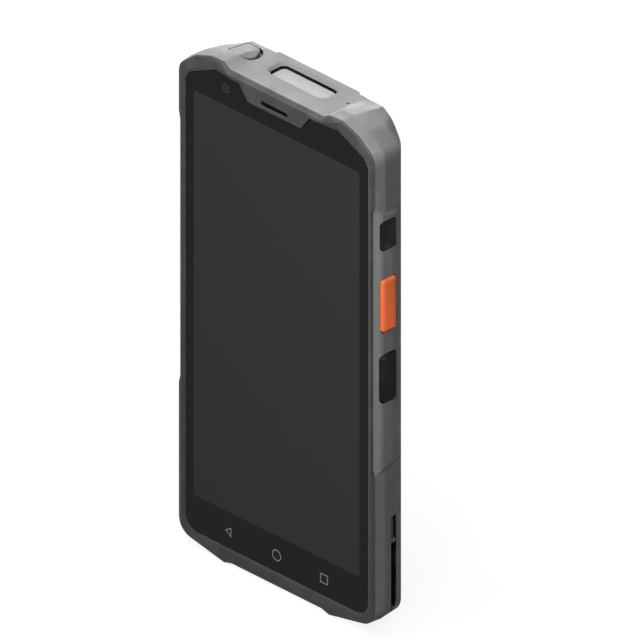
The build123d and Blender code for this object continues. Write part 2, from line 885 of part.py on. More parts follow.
def rear_housing():
    """Main shell: faceted sides with key pads, head over the scan engine, slab with battery bay."""
    shell = housing_form()
    shell -= block(-pad_half, pad_half, slab_y, depth_back + past, cover_bottom_z, cover_top_z)
    shell -= slab(inset_outline(wall), seam_y - past, room_y)
    shell -= head_room()
    shell -= block(-foot_room_half, foot_room_half, room_y - past, rear_room_y,
                   foot_room_bottom_z, foot_room_top_z)
    shell -= rounded_block(bay_half, bay_floor_y, slab_y + past, bay_bottom_z, bay_top_z, bay_blend)
    shell -= block(-contact_block_half - screw_gap, contact_block_half + screw_gap, room_y - past,
                   bay_floor_y + past, contact_block_z - screw_gap, bay_top_z)
    shell -= seal_ring(slab_y - seal_depth, slab_y + past)
    for hook in hooks(hook_gap):
        shell -= both_sides(hook)
    for boss in posts(boss_r, boss_y, room_y):
        shell += boss
    for hole in posts(screw_r + screw_gap, boss_y - past, slab_y + past):
        shell -= hole
    for seat in posts(screw_head_r + screw_gap, slab_y - screw_head_height - screw_sink, slab_y + past):
        shell -= seat
    for cut in key_holes() + underside_cuts() + back_cuts() + edge_notches():
        shell -= cut
    shell -= window_opening()
    shell -= port_recess()
    shell -= rod_z(mic_x, mic_y, mic_r, head_top_z - past, body_height)
    return shell - both_sides(strap_grooves())


def battery_cover():
    """Cover over the battery, with its snap hooks and the grooves across its chamfers."""
    zone = block(-pad_half, pad_half, slab_y, back_y, cover_bottom_z + cover_gap, cover_top_z - cover_gap)
    cover = body_form() & zone
    cover -= rounded_block(bay_half, slab_y - past, back_y - cover_wall, bay_bottom_z, bay_top_z, bay_blend)
    for notch in edge_notches():
        cover -= notch
    for hook in hooks():
        cover += both_sides(hook)
    return cover


def battery_pack():
    """Battery between the slab and its cover."""
    half = bay_half - battery_gap
    back = back_y - cover_wall - battery_gap
    top = contact_block_z - battery_gap
    return rounded_block(half, bay_floor_y, back, bay_bottom_z + battery_gap, top, bay_blend - battery_gap)


def battery_seal():
    """Rubber seal in its groove round the bay."""
    return seal_ring(slab_y - seal_depth, slab_y)


def battery_contacts():
    """Contact block on the main board that reaches into the battery bay."""
    return block(-contact_block_half, contact_block_half, board_back_y, bay_floor_y + battery_reach,
                 contact_block_z, bay_top_z - screw_gap)


def main_board():
    """Main board on the chassis's standoffs, cut out round the screw posts."""
    board = block(-main_half, main_half, board_y, board_back_y, main_bottom_z, main_top_z)
    for post in posts(boss_r + board_gap, board_y - past, board_back_y + past):
        board -= post
    return board


def sub_board():
    """Lower board for the socket, the contacts, the speaker and the motor."""
    board = block(-sub_half, sub_half, board_y, board_back_y, sub_bottom_z, sub_top_z)
    for post in posts(boss_r + board_gap, board_y - past, board_back_y + past):
        board -= post
    return board


def board_flex():
    """Flexible strip between the two boards."""
    low, high = sub_top_z - flex_overlap, main_bottom_z + flex_overlap
    return block(-flex_half, flex_half, board_back_y, board_back_y + flex_thickness, low, high)


def can_spans():
    """Each shield: middle and width along X, then its two ends."""
    low = main_bottom_z + low_can_rise
    middle, high = low + low_can_length, contact_block_z - can_margin
    return [
        (0.0, low_can_width, low, middle),
        (left_can_x, left_can_width, middle + can_spacing, high),
        (right_can_x, right_can_width, middle + can_spacing, high - right_can_drop),
    ]


def shield_cans():
    """Pressed shields over the circuits of the main board."""
    cans = []
    for x, width, low, high in can_spans():
        place = Pos(x, (low + high) / 2)
        height = high - low
        base = place * Rectangle(width, height)
        top = place * Rectangle(width - 2 * can_bevel, height - 2 * can_bevel)
        back = board_back_y + can_height
        cans.append(slab(base, board_back_y, back - can_bevel)
                    + loft([flat(base, back - can_bevel), flat(top, back)], ruled=True))
    return Compound(children=cans)


def scan_window():
    """Clear window of the scanner."""
    top = centre_z - window_sink
    return upright(window_face(-window_rim), top - window_thickness, top)


def window_seal():
    """Dark seal that carries the window, with a flange under the top wall."""
    top = centre_z - window_sink
    flange_top = min(top - window_thickness, head_top_z)
    ring = upright(window_face(-screw_gap) - window_face(-window_rim), flange_top, top + seal_lip)
    flange = upright(window_face(seal_flange) - window_face(-window_rim - seal_flange),
                     flange_top - seal_flange, flange_top)
    return ring + flange


def scan_engine():
    """Barcode engine under the window."""
    top = centre_z - window_sink - window_thickness - seal_flange - engine_gap
    body = block(-engine_half, engine_half, engine_front_y, engine_back_y, engine_bottom_z, top)
    for x, r in engine_ports:
        body -= rod_z(x, (engine_front_y + engine_back_y) / 2, r, top - engine_port_depth, top + past)
    return body


def engine_bracket():
    """Bracket that carries the engine, with posts to the main board's level."""
    back = engine_front_y
    plate = block(-bracket_half, bracket_half, back - bracket_thickness, back,
                  engine_bottom_z, engine_bottom_z + bracket_height)
    for x in (-bracket_post_x, bracket_post_x):
        plate += rod_y(x, engine_bottom_z + bracket_post_r + screw_gap, bracket_post_r,
                       chassis_back_y, back - bracket_thickness)
    return plate


def side_key(z, length, flange_out, flange_depth):
    """Key cap on the right side, with its bevelled face and its inner flange."""
    face = Pos(key_y, z) * key_face(length)
    shoulder = key_top_half - key_bevel
    cap = sideways(face, flange_out - flange_depth, shoulder)
    small = Pos(key_y, z) * RectangleRounded(key_width - 2 * key_bevel, length - 2 * key_bevel,
                                             key_face_blend)
    cap += loft([Plane.YZ.offset(shoulder) * face, Plane.YZ.offset(key_top_half) * small], ruled=True)
    reach = length / 2 + key_flange
    half = key_width / 2
    return cap + block(flange_out - flange_depth, flange_out, key_y - half, key_y + half,
                       z - reach, z + reach)


def push_key(z, length):
    """Key that is pushed straight in."""
    return side_key(z, length, room_half - screw_gap, key_flange_thickness)


def volume_key():
    """Volume rocker: rocks on a rounded rib at its middle."""
    outer = room_half - rocker_gap
    key = side_key(volume_z, volume_length, outer, rocker_flange_thickness)
    half = key_width / 2 - key_bevel
    inner = outer - rocker_flange_thickness
    rib_r = inner - switch_half - screw_gap
    rib = Pos(inner, key_y, volume_z) * Rot(90, 0, 0) * Cylinder(rib_r, 2 * half)
    return key + rib


def switch_heights():
    """Heights of the switches behind the keys."""
    return [power_z, scan_z - scan_switch_place, scan_z + scan_switch_place,
            volume_z - volume_switch_place, volume_z + volume_switch_place]


def key_switches():
    """Switch board behind the keys, with one switch under the power key and two under the others."""
    low, high = strip_span()
    half = switch_size / 2
    board = block(switch_half - switch_board_thickness, switch_half, switch_front_y, switch_back_y,
                  low, high)
    for z in switch_heights():
        board += block(switch_half, switch_face_half, key_y - half, key_y + half, z - half, z + half)
    return board


def port_cover():
    """Rubber cover over the headset jack, flush with the top, with its stopper."""
    cap = upright(port_face(), head_top_z + past, body_height + past) & body_form()
    cap -= Pos(0, 0, -port_thickness) * body_form()
    underside = ear_z_at(port_y) - port_thickness
    return cap + rod_z(port_x, port_y, stopper_r, underside - stopper_length, underside + port_thickness / 2)


def headset_jack():
    """Headset jack under its cover."""
    top = head_top_z - receiver_gap
    body = block(port_x - jack_width / 2, port_x + jack_width / 2, port_y - jack_depth / 2,
                 port_y + jack_depth / 2, top - jack_length, top)
    return body - rod_z(port_x, port_y, jack_bore_r, top - jack_bore_length, top + past)


def top_microphone():
    """Microphone behind its hole in the top."""
    half = mic_size / 2
    return block(mic_x - half, mic_x + half, mic_y - half, mic_y + half,
                 head_top_z - mic_thickness, head_top_z)


def earpiece_receiver():
    """Earpiece receiver in its pocket of the frame."""
    return receiver_box()


def rear_camera():
    """Rear camera module with its lens barrel."""
    body = rod_y(camera_x, camera_z, camera_r, rear_room_y - camera_depth, rear_room_y - seam_gap)
    barrel_r = camera_window_r - bezel_seat - camera_window_sink
    return body + rod_y(camera_x, camera_z, barrel_r, rear_room_y - seam_gap,
                        back_y - bezel_seat - camera_window_sink)


def camera_bezel():
    """Metal ring round the rear camera's window."""
    low, high = back_y - bezel_seat, back_y + bezel_height
    ring = rod_y(camera_x, camera_z, bezel_r, low, high)
    ring = chamfer(ring.edges().sort_by(Axis.Y)[-1], bezel_height)
    return ring - rod_y(camera_x, camera_z, camera_window_r + screw_gap, low - past, high + past)


def camera_window():
    """Glass over the rear camera."""
    low = back_y - bezel_seat
    return rod_y(camera_x, camera_z, camera_window_r, low, low + camera_window_thickness)


def flash_lens():
    """Lens over the flash."""
    return rod_y(camera_x, flash_z, flash_r, back_y - bezel_seat, back_y - flash_sink)


def grille_mesh():
    """Fine mesh behind the speaker grille."""
    half = grille_pitch * grille_slots / 2
    height = grille_slot_length / 2 + grille_mesh_margin
    return block(speaker_x - half, speaker_x + half, rear_room_y - grille_mesh_thickness, rear_room_y,
                 foot_room_z - height, foot_room_z + height)


def loudspeaker():
    """Loudspeaker behind the grille."""
    back = rear_room_y - grille_mesh_thickness
    return block(speaker_x - speaker_half, speaker_x + speaker_half, back - speaker_thickness, back,
                 foot_room_z - speaker_height / 2, foot_room_z + speaker_height / 2)


def vibration_motor():
    """Coin motor on the back wall of the foot room."""
    return rod_y(motor_x, foot_room_z, motor_r, rear_room_y - motor_thickness, rear_room_y)


def usb_socket():
    """Charging and data socket in the underside, with its inner tongue."""
    low = recess_depth + usb_mouth_depth
    shell = usb_mouth(0, low, low + usb_length)
    shell -= usb_mouth(-usb_shell, low - past, low + usb_length - usb_shell)
    half = usb_half - usb_shell - usb_mouth_depth
    leaf = usb_shell
    return shell + block(-half, half, usb_y - leaf, usb_y + leaf, low + leaf, low + usb_length - leaf / 2)


def charging_contacts():
    """Round charging contacts beside the socket."""
    low = recess_depth + contact_sink
    return Compound(children=[rod_z(x, usb_y, contact_r, low, low + contact_length)
                              for x in contact_places()])


def housing_screws():
    """Screws that draw the housing onto the chassis."""
    head_back = slab_y - screw_sink
    head_front = head_back - screw_head_height
    heads = posts(screw_head_r, head_front, head_back)
    shanks = posts(screw_r, chassis_back_y + screw_sink, head_front)
    screws = []
    for head, shank in zip(heads, shanks):
        centre = head.center()
        socket = Pos(centre.X, centre.Z) * RegularPolygon(screw_head_r / 2, 6)
        screws.append(head + shank - slab(socket, head_back - screw_head_height / 2, head_back + past))
    return Compound(children=screws)


def pieces():
    """Every piece of the terminal, by name."""
    return {
        "front_frame": front_frame(),
        "cover_glass": cover_glass(),
        "glass_adhesive": glass_adhesive(),
        "display_panel": display_panel(),
        "earpiece_mesh": earpiece_mesh(),
        "earpiece_receiver": earpiece_receiver(),
        "front_camera": front_camera(),
        "frame_seal": frame_seal(),
        "mid_chassis": mid_chassis(),
        "rear_housing": rear_housing(),
        "battery_cover": battery_cover(),
        "battery_pack": battery_pack(),
        "battery_seal": battery_seal(),
        "battery_contacts": battery_contacts(),
        "main_board": main_board(),
        "shield_cans": shield_cans(),
        "sub_board": sub_board(),
        "board_flex": board_flex(),
        "scan_window": scan_window(),
        "window_seal": window_seal(),
        "scan_engine": scan_engine(),
        "engine_bracket": engine_bracket(),
        "power_key": push_key(power_z, power_length),
        "scan_key": push_key(scan_z, scan_length),
        "volume_key": volume_key(),
        "key_switches": key_switches(),
        "port_cover": port_cover(),
        "headset_jack": headset_jack(),
        "top_microphone": top_microphone(),
        "usb_socket": usb_socket(),
        "charging_contacts": charging_contacts(),
        "loudspeaker": loudspeaker(),
        "speaker_mesh": grille_mesh(),
        "vibration_motor": vibration_motor(),
        "rear_camera": rear_camera(),
        "camera_bezel": camera_bezel(),
        "camera_window": camera_window(),
        "flash_lens": flash_lens(),
        "housing_screws": housing_screws(),
    }


os.makedirs("parts", exist_ok=True)
for name, piece in pieces().items():
    export_step(Pos(-middle_x, -middle_y, 0) * piece, f"parts/{name}.step")
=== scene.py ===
"""Looks of a portable barcode data terminal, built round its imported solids.

Lengths are written in millimetres and turned into metres by MM, where nothing else is said.
X runs across the terminal, Y from the glass to the back and Z from the feet to the top.
"""

import json
import logging
import math
from dataclasses import dataclass, field
from enum import Enum
from typing import Callable, Sequence

import bmesh
import bpy
from mathutils import Matrix, Vector
from mathutils.kdtree import KDTree

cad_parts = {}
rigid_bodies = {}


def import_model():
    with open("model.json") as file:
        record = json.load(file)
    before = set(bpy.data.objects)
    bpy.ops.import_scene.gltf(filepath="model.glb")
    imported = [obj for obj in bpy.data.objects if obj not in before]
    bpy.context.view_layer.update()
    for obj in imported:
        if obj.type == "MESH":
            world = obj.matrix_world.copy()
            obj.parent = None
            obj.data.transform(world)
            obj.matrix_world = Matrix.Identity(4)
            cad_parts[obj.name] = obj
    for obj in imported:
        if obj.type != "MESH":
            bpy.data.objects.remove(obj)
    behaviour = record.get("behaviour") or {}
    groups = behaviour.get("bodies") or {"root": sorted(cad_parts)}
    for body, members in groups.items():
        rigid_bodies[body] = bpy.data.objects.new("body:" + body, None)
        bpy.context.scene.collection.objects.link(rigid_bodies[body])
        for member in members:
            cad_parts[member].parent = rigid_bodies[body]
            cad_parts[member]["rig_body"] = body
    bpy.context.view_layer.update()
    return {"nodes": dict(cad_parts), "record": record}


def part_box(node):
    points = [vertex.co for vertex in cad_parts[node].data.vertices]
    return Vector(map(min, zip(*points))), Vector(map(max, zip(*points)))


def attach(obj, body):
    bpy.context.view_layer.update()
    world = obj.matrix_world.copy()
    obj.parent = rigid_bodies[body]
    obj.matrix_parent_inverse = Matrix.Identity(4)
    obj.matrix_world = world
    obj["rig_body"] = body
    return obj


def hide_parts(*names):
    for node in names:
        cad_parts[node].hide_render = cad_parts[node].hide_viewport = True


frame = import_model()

log = logging.getLogger("terminal")
MM = 0.001
FAR = 1e3  # millimetres, past every piece
MIDDLE_X = -0.4  # middle of the shell; the keys stand out on one side of it only
EDGE_WEAR = "edge_wear"  # point attribute, up to 1 on rounded edges
WHITE = (1.0, 1.0, 1.0, 1.0)

Colour = tuple[float, float, float]
Point = tuple[float, float, float]
Span = tuple[float, float]
Box = tuple[Vector, Vector]
Socket = bpy.types.NodeSocket


class Axis(Enum):
    """Axes by their index."""

    X = 0
    Y = 1
    Z = 2


def new_object(name: str, data: bpy.types.ID) -> bpy.types.Object:
    """Put an object into the scene.

    Args:
        name: its name.
        data: its mesh, lamp or camera.

    Returns:
        The object.
    """
    made = bpy.data.objects.new(name, data)
    bpy.context.scene.collection.objects.link(made)
    return made


# ---------------------------------------------------------------- shader nodes


class Nodes:
    """Short way to add and join shader nodes in a material or a node group."""

    def __init__(self, tree: bpy.types.NodeTree) -> None:
        """Keep the tree that nodes are added to."""
        self.tree = tree

    def add(self, kind: str, **values: object) -> bpy.types.Node:
        """Add a node.

        Args:
            kind: Blender's name for the node type.
            values: settings of the node itself, by property name.

        Returns:
            The new node.
        """
        node = self.tree.nodes.new(kind)
        for name, value in values.items():
            setattr(node, name, value)
        return node

    def feed(self, target: Socket, source: "Socket | float | Sequence[float]") -> None:
        """Give an input either a constant or the output of another node.

        Args:
            target: the input socket.
            source: an output socket, or the value to set.
        """
        if isinstance(source, bpy.types.NodeSocket):
            self.tree.links.new(source, target)
        else:
            target.default_value = source

    def fill(self, node: bpy.types.Node, inputs: "dict[str, Socket | float | Sequence[float]]") -> None:
        """Give several inputs of a node their constants or sockets, by name."""
        for name, source in inputs.items():
            self.feed(node.inputs[name], source)

    def math(self, operation: str, *inputs: "Socket | float", clamp: bool = False) -> Socket:
        """Add a Math node.

        Args:
            operation: Blender's name for the operation.
            inputs: its one, two or three inputs.
            clamp: whether the result is held between 0 and 1.

        Returns:
            The result's socket.
        """
        node = self.add("ShaderNodeMath", operation=operation, use_clamp=clamp)
        for slot, value in zip(node.inputs, inputs):
            self.feed(slot, value)
        return node.outputs[0]

    def ramp(self, value: "Socket | float", low: float, high: float,
             start: float = 0.0, end: float = 1.0) -> Socket:
        """Map a range of a value to another range, held at both ends.

        Args:
            value: the value to map.
            low: value that gives start.
            high: value that gives end.
            start: result at and below low.
            end: result at and above high.

        Returns:
            The mapped value's socket.
        """
        node = self.add("ShaderNodeMapRange", clamp=True)
        for slot, number in zip(node.inputs, (value, low, high, start, end)):
            self.feed(slot, number)
        return node.outputs[0]

    def mix(self, share: "Socket | float", first: "Socket | Colour",
            second: "Socket | Colour") -> Socket:
        """Mix two colours.

        Args:
            share: 0 for the first colour, 1 for the second.
            first: a colour or a socket.
            second: a colour or a socket.

        Returns:
            The mixed colour's socket.
        """
        node = self.add("ShaderNodeMix", data_type="RGBA")
        self.feed(node.inputs[0], share)
        for slot, value in ((node.inputs[6], first), (node.inputs[7], second)):
            self.feed(slot, (*value, 1.0) if isinstance(value, tuple) else value)
        return node.outputs[2]

    def noise(self, vector: Socket, size_mm: "Socket | float", detail: float = 2.0) -> Socket:
        """Add a noise whose lumps are about size_mm across.

        Args:
            vector: where the noise is read, in metres.
            size_mm: size of a lump in millimetres.
            detail: octaves.

        Returns:
            The noise value, about 0.5 in the middle.
        """
        if isinstance(size_mm, bpy.types.NodeSocket):
            scale = self.math("DIVIDE", 1 / MM, size_mm)
        else:
            scale = 1 / (size_mm * MM)
        node = self.add("ShaderNodeTexNoise")
        self.fill(node, {"Vector": vector, "Scale": scale, "Detail": detail})
        return node.outputs["Fac"]

    def bump(self, height: Socket, depth_mm: float) -> Socket:
        """Bend the surface's normal by a height.

        Args:
            height: the height, about 0 to 1.
            depth_mm: what a height of 1 stands for, in millimetres.

        Returns:
            The normal's socket.
        """
        node = self.add("ShaderNodeBump")
        self.fill(node, {"Distance": depth_mm * MM, "Height": height})
        return node.outputs["Normal"]

    def object_place(self) -> Socket:
        """Add the place on the piece, in metres."""
        return self.add("ShaderNodeTexCoord").outputs["Object"]


def node_group(
    name: str, inputs: Sequence[tuple[str, str, float]], outputs: Sequence[tuple[str, str]],
) -> tuple[bpy.types.NodeTree, Nodes, bpy.types.Node, bpy.types.Node]:
    """Start a shader node group.

    Args:
        name: its name.
        inputs: name, socket type and default of each input.
        outputs: name and socket type of each output.

    Returns:
        The group, a Nodes helper for it, and its input and output nodes.
    """
    group = bpy.data.node_groups.new(name, "ShaderNodeTree")
    for label, kind, default in inputs:
        made = group.interface.new_socket(name=label, in_out="INPUT", socket_type=kind)
        if kind == "NodeSocketFloat":
            made.default_value = default
    for label, kind in outputs:
        group.interface.new_socket(name=label, in_out="OUTPUT", socket_type=kind)
    nodes = Nodes(group)
    return group, nodes, nodes.add("NodeGroupInput"), nodes.add("NodeGroupOutput")


def grain_group() -> bpy.types.NodeTree:
    """Height of a spark-eroded mould texture: rounded grains with finer pits between.

    Returns:
        The node group, with Vector and Size (mm) in and Height out.
    """
    group, n, start, end = node_group(
        "moulded_grain", [("Vector", "NodeSocketVector", 0.0), ("Size", "NodeSocketFloat", 0.3)],
        [("Height", "NodeSocketFloat")])
    pit_share = 0.5
    coarse = n.noise(start.outputs["Vector"], start.outputs["Size"], detail=3.0)
    cells = n.add("ShaderNodeTexVoronoi", feature="SMOOTH_F1")
    n.fill(cells, {"Vector": start.outputs["Vector"],
                   "Scale": n.math("DIVIDE", 1 / MM, start.outputs["Size"])})
    pits = n.math("MULTIPLY", cells.outputs["Distance"], pit_share)
    n.feed(end.inputs["Height"], n.math("ADD", coarse, pits))
    return group


def handling_group() -> bpy.types.NodeTree:
    """Uneven sheen and tone of a handled surface.

    Returns:
        The node group, with Vector in, and Tone (about 1) and Sheen (about 0) out.
    """
    group, n, start, end = node_group(
        "handling", [("Vector", "NodeSocketVector", 0.0)],
        [("Tone", "NodeSocketFloat"), ("Sheen", "NodeSocketFloat")])
    broad = n.noise(start.outputs["Vector"], size_mm=28.0, detail=3.0)
    fine = n.noise(start.outputs["Vector"], size_mm=3.5, detail=4.0)
    shade = n.ramp(broad, low=0.3, high=0.7, start=0.975, end=1.015)
    speckle = n.ramp(fine, low=0.3, high=0.7, start=-0.012, end=0.012)
    grease = n.ramp(broad, low=0.3, high=0.7, start=-0.035, end=0.03)
    streak = n.ramp(fine, low=0.35, high=0.7, start=-0.02, end=0.03)
    n.fill(end, {"Tone": n.math("ADD", shade, speckle), "Sheen": n.math("ADD", grease, streak)})
    return group


def wear_group() -> bpy.types.NodeTree:
    """Rubbed patches along edges.

    Returns:
        The node group, with Vector and Edge in, and Mask out.
    """
    group, n, start, end = node_group(
        "edge_rub", [("Vector", "NodeSocketVector", 0.0), ("Edge", "NodeSocketFloat", 0.0)],
        [("Mask", "NodeSocketFloat")])
    patches = n.ramp(n.noise(start.outputs["Vector"], size_mm=6.0, detail=5.0), low=0.42, high=0.66)
    n.feed(end.inputs["Mask"], n.math("MULTIPLY", patches, start.outputs["Edge"], clamp=True))
    return group


class Groups:
    """The shared node groups, each made once."""

    made: dict[str, bpy.types.NodeTree] = {}

    @classmethod
    def place(cls, nodes: Nodes, maker: Callable[[], bpy.types.NodeTree]) -> bpy.types.Node:
        """Put a shared group into a material.

        Args:
            nodes: helper of the material.
            maker: function that makes the group.

        Returns:
            The group's node in the material.
        """
        if maker.__name__ not in cls.made:
            cls.made[maker.__name__] = maker()
        return nodes.add("ShaderNodeGroup", node_tree=cls.made[maker.__name__])


# ---------------------------------------------------------------- finishes


def new_material(name: str) -> tuple[bpy.types.Material, Nodes, bpy.types.Node]:
    """Start a material with one Principled shader.

    Args:
        name: its name.

    Returns:
        The material, its Nodes helper and its shader.
    """
    material = bpy.data.materials.new(name)
    material.use_nodes = True
    nodes = Nodes(material.node_tree)
    return material, nodes, material.node_tree.nodes["Principled BSDF"]


def tone(nodes: Nodes, colour: Colour, factor: Socket) -> Socket:
    """A colour made lighter or darker by a factor that varies over the surface.

    Args:
        nodes: helper of the material.
        colour: the plain colour.
        factor: about 1.

    Returns:
        The colour's socket.
    """
    node = nodes.add("ShaderNodeVectorMath", operation="SCALE")
    nodes.feed(node.inputs[0], colour)
    nodes.feed(node.inputs["Scale"], factor)
    return node.outputs[0]


@dataclass(frozen=True)
class Moulded:
    """Moulded plastic or rubber with a fine grain, handling marks and rubbed edges.

    A rubbed patch is lighter and smoother than the rest. The colour is linear.
    """

    name: str
    colour: Colour
    roughness: float
    grain_size: float = 0.32
    grain_depth: float = 0.012
    specular: float = 0.5
    rub: float = 0.35
    rub_lighter: float = 0.3
    rub_smoother: float = 0.12

    def build(self) -> bpy.types.Material:
        """Make the material.

        Returns:
            The material.
        """
        material, n, shader = new_material(self.name)
        place = n.object_place()
        edge = n.add("ShaderNodeAttribute", attribute_name=EDGE_WEAR).outputs["Fac"]
        makers = (handling_group, wear_group, grain_group)
        marks, rub, grain = (Groups.place(n, maker) for maker in makers)
        n.fill(marks, {"Vector": place})
        n.fill(rub, {"Vector": place, "Edge": edge})
        n.fill(grain, {"Vector": place, "Size": self.grain_size})
        base = tone(n, self.colour, marks.outputs["Tone"])
        worn = tuple(1 - (1 - c) * (1 - self.rub * self.rub_lighter) for c in self.colour)
        share = n.math("MULTIPLY", rub.outputs["Mask"], self.rub)
        rough = n.math("ADD", marks.outputs["Sheen"], self.roughness)
        smoother = n.math("MULTIPLY", rub.outputs["Mask"], self.rub_smoother)
        n.fill(shader, {
            "Base Color": n.mix(share, base, worn),
            "Roughness": n.math("SUBTRACT", rough, smoother),
            "Specular IOR Level": self.specular,
            "Normal": n.bump(grain.outputs["Height"], self.grain_depth),
        })
        return material


@dataclass(frozen=True)
class PrintedGlass:
    """Cover glass with a dark printed border, three outlined touch marks, the front camera's ring and a
    painted highlight in the middle of its lens.

    Places on the glass are X and Z in millimetres.
    """

    name: str
    border: Colour
    display: Colour
    mark: Colour
    camera_ring: Colour
    roughness: float
    specular: float
    middle: Span = (MIDDLE_X, 78.7)
    half_width: float = 31.3
    half_height: float = 62.4
    corner: float = 1.0
    marks_z: float = 10.3
    line: float = 0.36
    back_mark: Point = (-19.9, -17.45, 1.55)  # tip, far side and half height
    home_mark: Span = (MIDDLE_X, 1.72)  # middle and radius
    recent_mark: Span = (17.5, 1.48)  # middle and half width
    camera: Span = (-19.5, 146.5)
    # The second radius is that of a painted highlight in the middle of the front camera's lens.
    camera_radii: Span = (1.15, 0.3)  # ring and spot
    ring_edge: Span = (0.1, 0.2)  # how far from the ring's middle line it fades
    spot_edge: float = 0.1
    blur: float = 0.04
    smear: float = 0.05
    ripple: float = 0.002

    def rectangle(self, n: Nodes, x: Socket, z: Socket) -> Socket:
        """Distance from the outline of the display, below 0 inside it.

        Args:
            n: helper of the material.
            x: place across the glass in millimetres.
            z: place along the glass in millimetres.

        Returns:
            The distance in millimetres.
        """
        beyond = []
        sides = zip((x, z), self.middle, (self.half_width, self.half_height))
        for value, centre, half in sides:
            away = n.math("ABSOLUTE", n.math("SUBTRACT", value, centre))
            beyond.append(n.math("MAXIMUM", n.math("SUBTRACT", away, half - self.corner), 0.0))
        square = n.math("ADD", *(n.math("POWER", side, 2.0) for side in beyond))
        return n.math("SUBTRACT", n.math("SQRT", square), self.corner)

    def radius(self, n: Nodes, x: Socket, z: Socket, centre: Span) -> Socket:
        """Distance from a point of the glass."""
        square = [n.math("POWER", n.math("SUBTRACT", value, at), 2.0)
                  for value, at in zip((x, z), centre)]
        return n.math("SQRT", n.math("ADD", *square))

    def marks(self, n: Nodes, x: Socket, z: Socket) -> Socket:
        """Distance from the middle of the line of the nearest touch mark.

        Args:
            n: helper of the material.
            x: place across the glass in millimetres.
            z: place along the glass in millimetres.

        Returns:
            The distance in millimetres.
        """
        off = n.math("ABSOLUTE", n.math("SUBTRACT", z, self.marks_z))
        tip, side, half = self.back_mark
        run = side - tip
        slope = math.hypot(run, half)
        slant = n.math("SUBTRACT", n.math("MULTIPLY", off, run / slope),
                       n.math("MULTIPLY", n.math("SUBTRACT", x, tip), half / slope))
        triangle = n.math("MAXIMUM", n.math("SUBTRACT", x, side), slant)
        from_home = self.radius(n, x, z, (self.home_mark[0], self.marks_z))
        circle = n.math("SUBTRACT", from_home, self.home_mark[1])
        across = n.math("ABSOLUTE", n.math("SUBTRACT", x, self.recent_mark[0]))
        square = n.math("SUBTRACT", n.math("MAXIMUM", across, off), self.recent_mark[1])
        nearest = [n.math("ABSOLUTE", n.math("ADD", edge, self.line / 2))
                   for edge in (triangle, circle, square)]
        return n.math("MINIMUM", nearest[0], n.math("MINIMUM", *nearest[1:]))

    def build(self) -> bpy.types.Material:
        """Make the material.

        Returns:
            The material.
        """
        material, n, shader = new_material(self.name)
        place = n.object_place()
        parts = n.add("ShaderNodeSeparateXYZ")
        n.feed(parts.inputs[0], place)
        x, z = (n.math("DIVIDE", parts.outputs[axis.name], MM) for axis in (Axis.X, Axis.Z))
        blur, half = self.blur, self.line / 2
        lit = n.ramp(self.rectangle(n, x, z), -blur, blur, start=1.0, end=0.0)
        colour = n.mix(lit, self.border, self.display)
        drawn = n.ramp(self.marks(n, x, z), half - blur, half + blur, start=1.0, end=0.0)
        colour = n.mix(drawn, colour, self.mark)
        eye = self.radius(n, x, z, self.camera)
        ring_radius, glint_radius = self.camera_radii
        from_ring = n.math("ABSOLUTE", n.math("SUBTRACT", eye, ring_radius))
        ring = n.ramp(from_ring, *self.ring_edge, start=1.0, end=0.0)
        # Painted highlight: a small lighter dot in the middle of the front camera's lens, in the ring's
        # colour.
        spot = n.ramp(eye, glint_radius, glint_radius + self.spot_edge, start=1.0, end=0.0)
        smear = n.ramp(n.noise(place, size_mm=14.0, detail=4.0), low=0.35, high=0.75,
                       start=self.roughness, end=self.roughness + self.smear)
        waves = n.noise(place, size_mm=9.0, detail=1.0)
        n.fill(shader, {
            "Base Color": n.mix(n.math("MAXIMUM", ring, spot), colour, self.camera_ring),
            "Roughness": smear,
            "Specular IOR Level": self.specular,
            "Normal": n.bump(waves, self.ripple),
        })
        return material


@dataclass(frozen=True)
class Metal:
    """Plain metal with a brushed or cast surface."""

    name: str
    colour: Colour
    roughness: float
    grain_size: float = 0.2
    grain_depth: float = 0.004

    def build(self) -> bpy.types.Material:
        """Make the material.

        Returns:
            The material.
        """
        material, n, shader = new_material(self.name)
        place = n.object_place()
        marks = Groups.place(n, handling_group)
        n.fill(marks, {"Vector": place})
        grain = n.noise(place, self.grain_size, detail=3.0)
        n.fill(shader, {
            "Base Color": tone(n, self.colour, marks.outputs["Tone"]),
            "Roughness": n.math("ADD", marks.outputs["Sheen"], self.roughness),
            "Metallic": 1.0,
            "Normal": n.bump(grain, self.grain_depth),
        })
        return material


@dataclass(frozen=True)
class Mesh:
    """Fine woven mesh: round holes in a dark sheet."""

    name: str
    colour: Colour
    hole: Colour
    pitch: float
    hole_edge: Span = (0.3, 0.42)  # in pitches from a hole's middle
    metallic: float = 0.6
    roughness: float = 0.45
    specular: float = 0.1
    depth: float = 0.03

    def build(self) -> bpy.types.Material:
        """Make the material.

        Returns:
            The material.
        """
        material, n, shader = new_material(self.name)
        place = n.object_place()
        cells = n.add("ShaderNodeTexVoronoi", feature="F1")
        n.fill(cells, {"Vector": place, "Scale": 1 / (self.pitch * MM), "Randomness": 0.0})
        wire = n.ramp(cells.outputs["Distance"], *self.hole_edge)
        n.fill(shader, {
            "Base Color": n.mix(wire, self.hole, self.colour),
            "Metallic": n.math("MULTIPLY", wire, self.metallic),
            "Roughness": self.roughness,
            "Specular IOR Level": self.specular,
            "Normal": n.bump(wire, self.depth),
        })
        return material


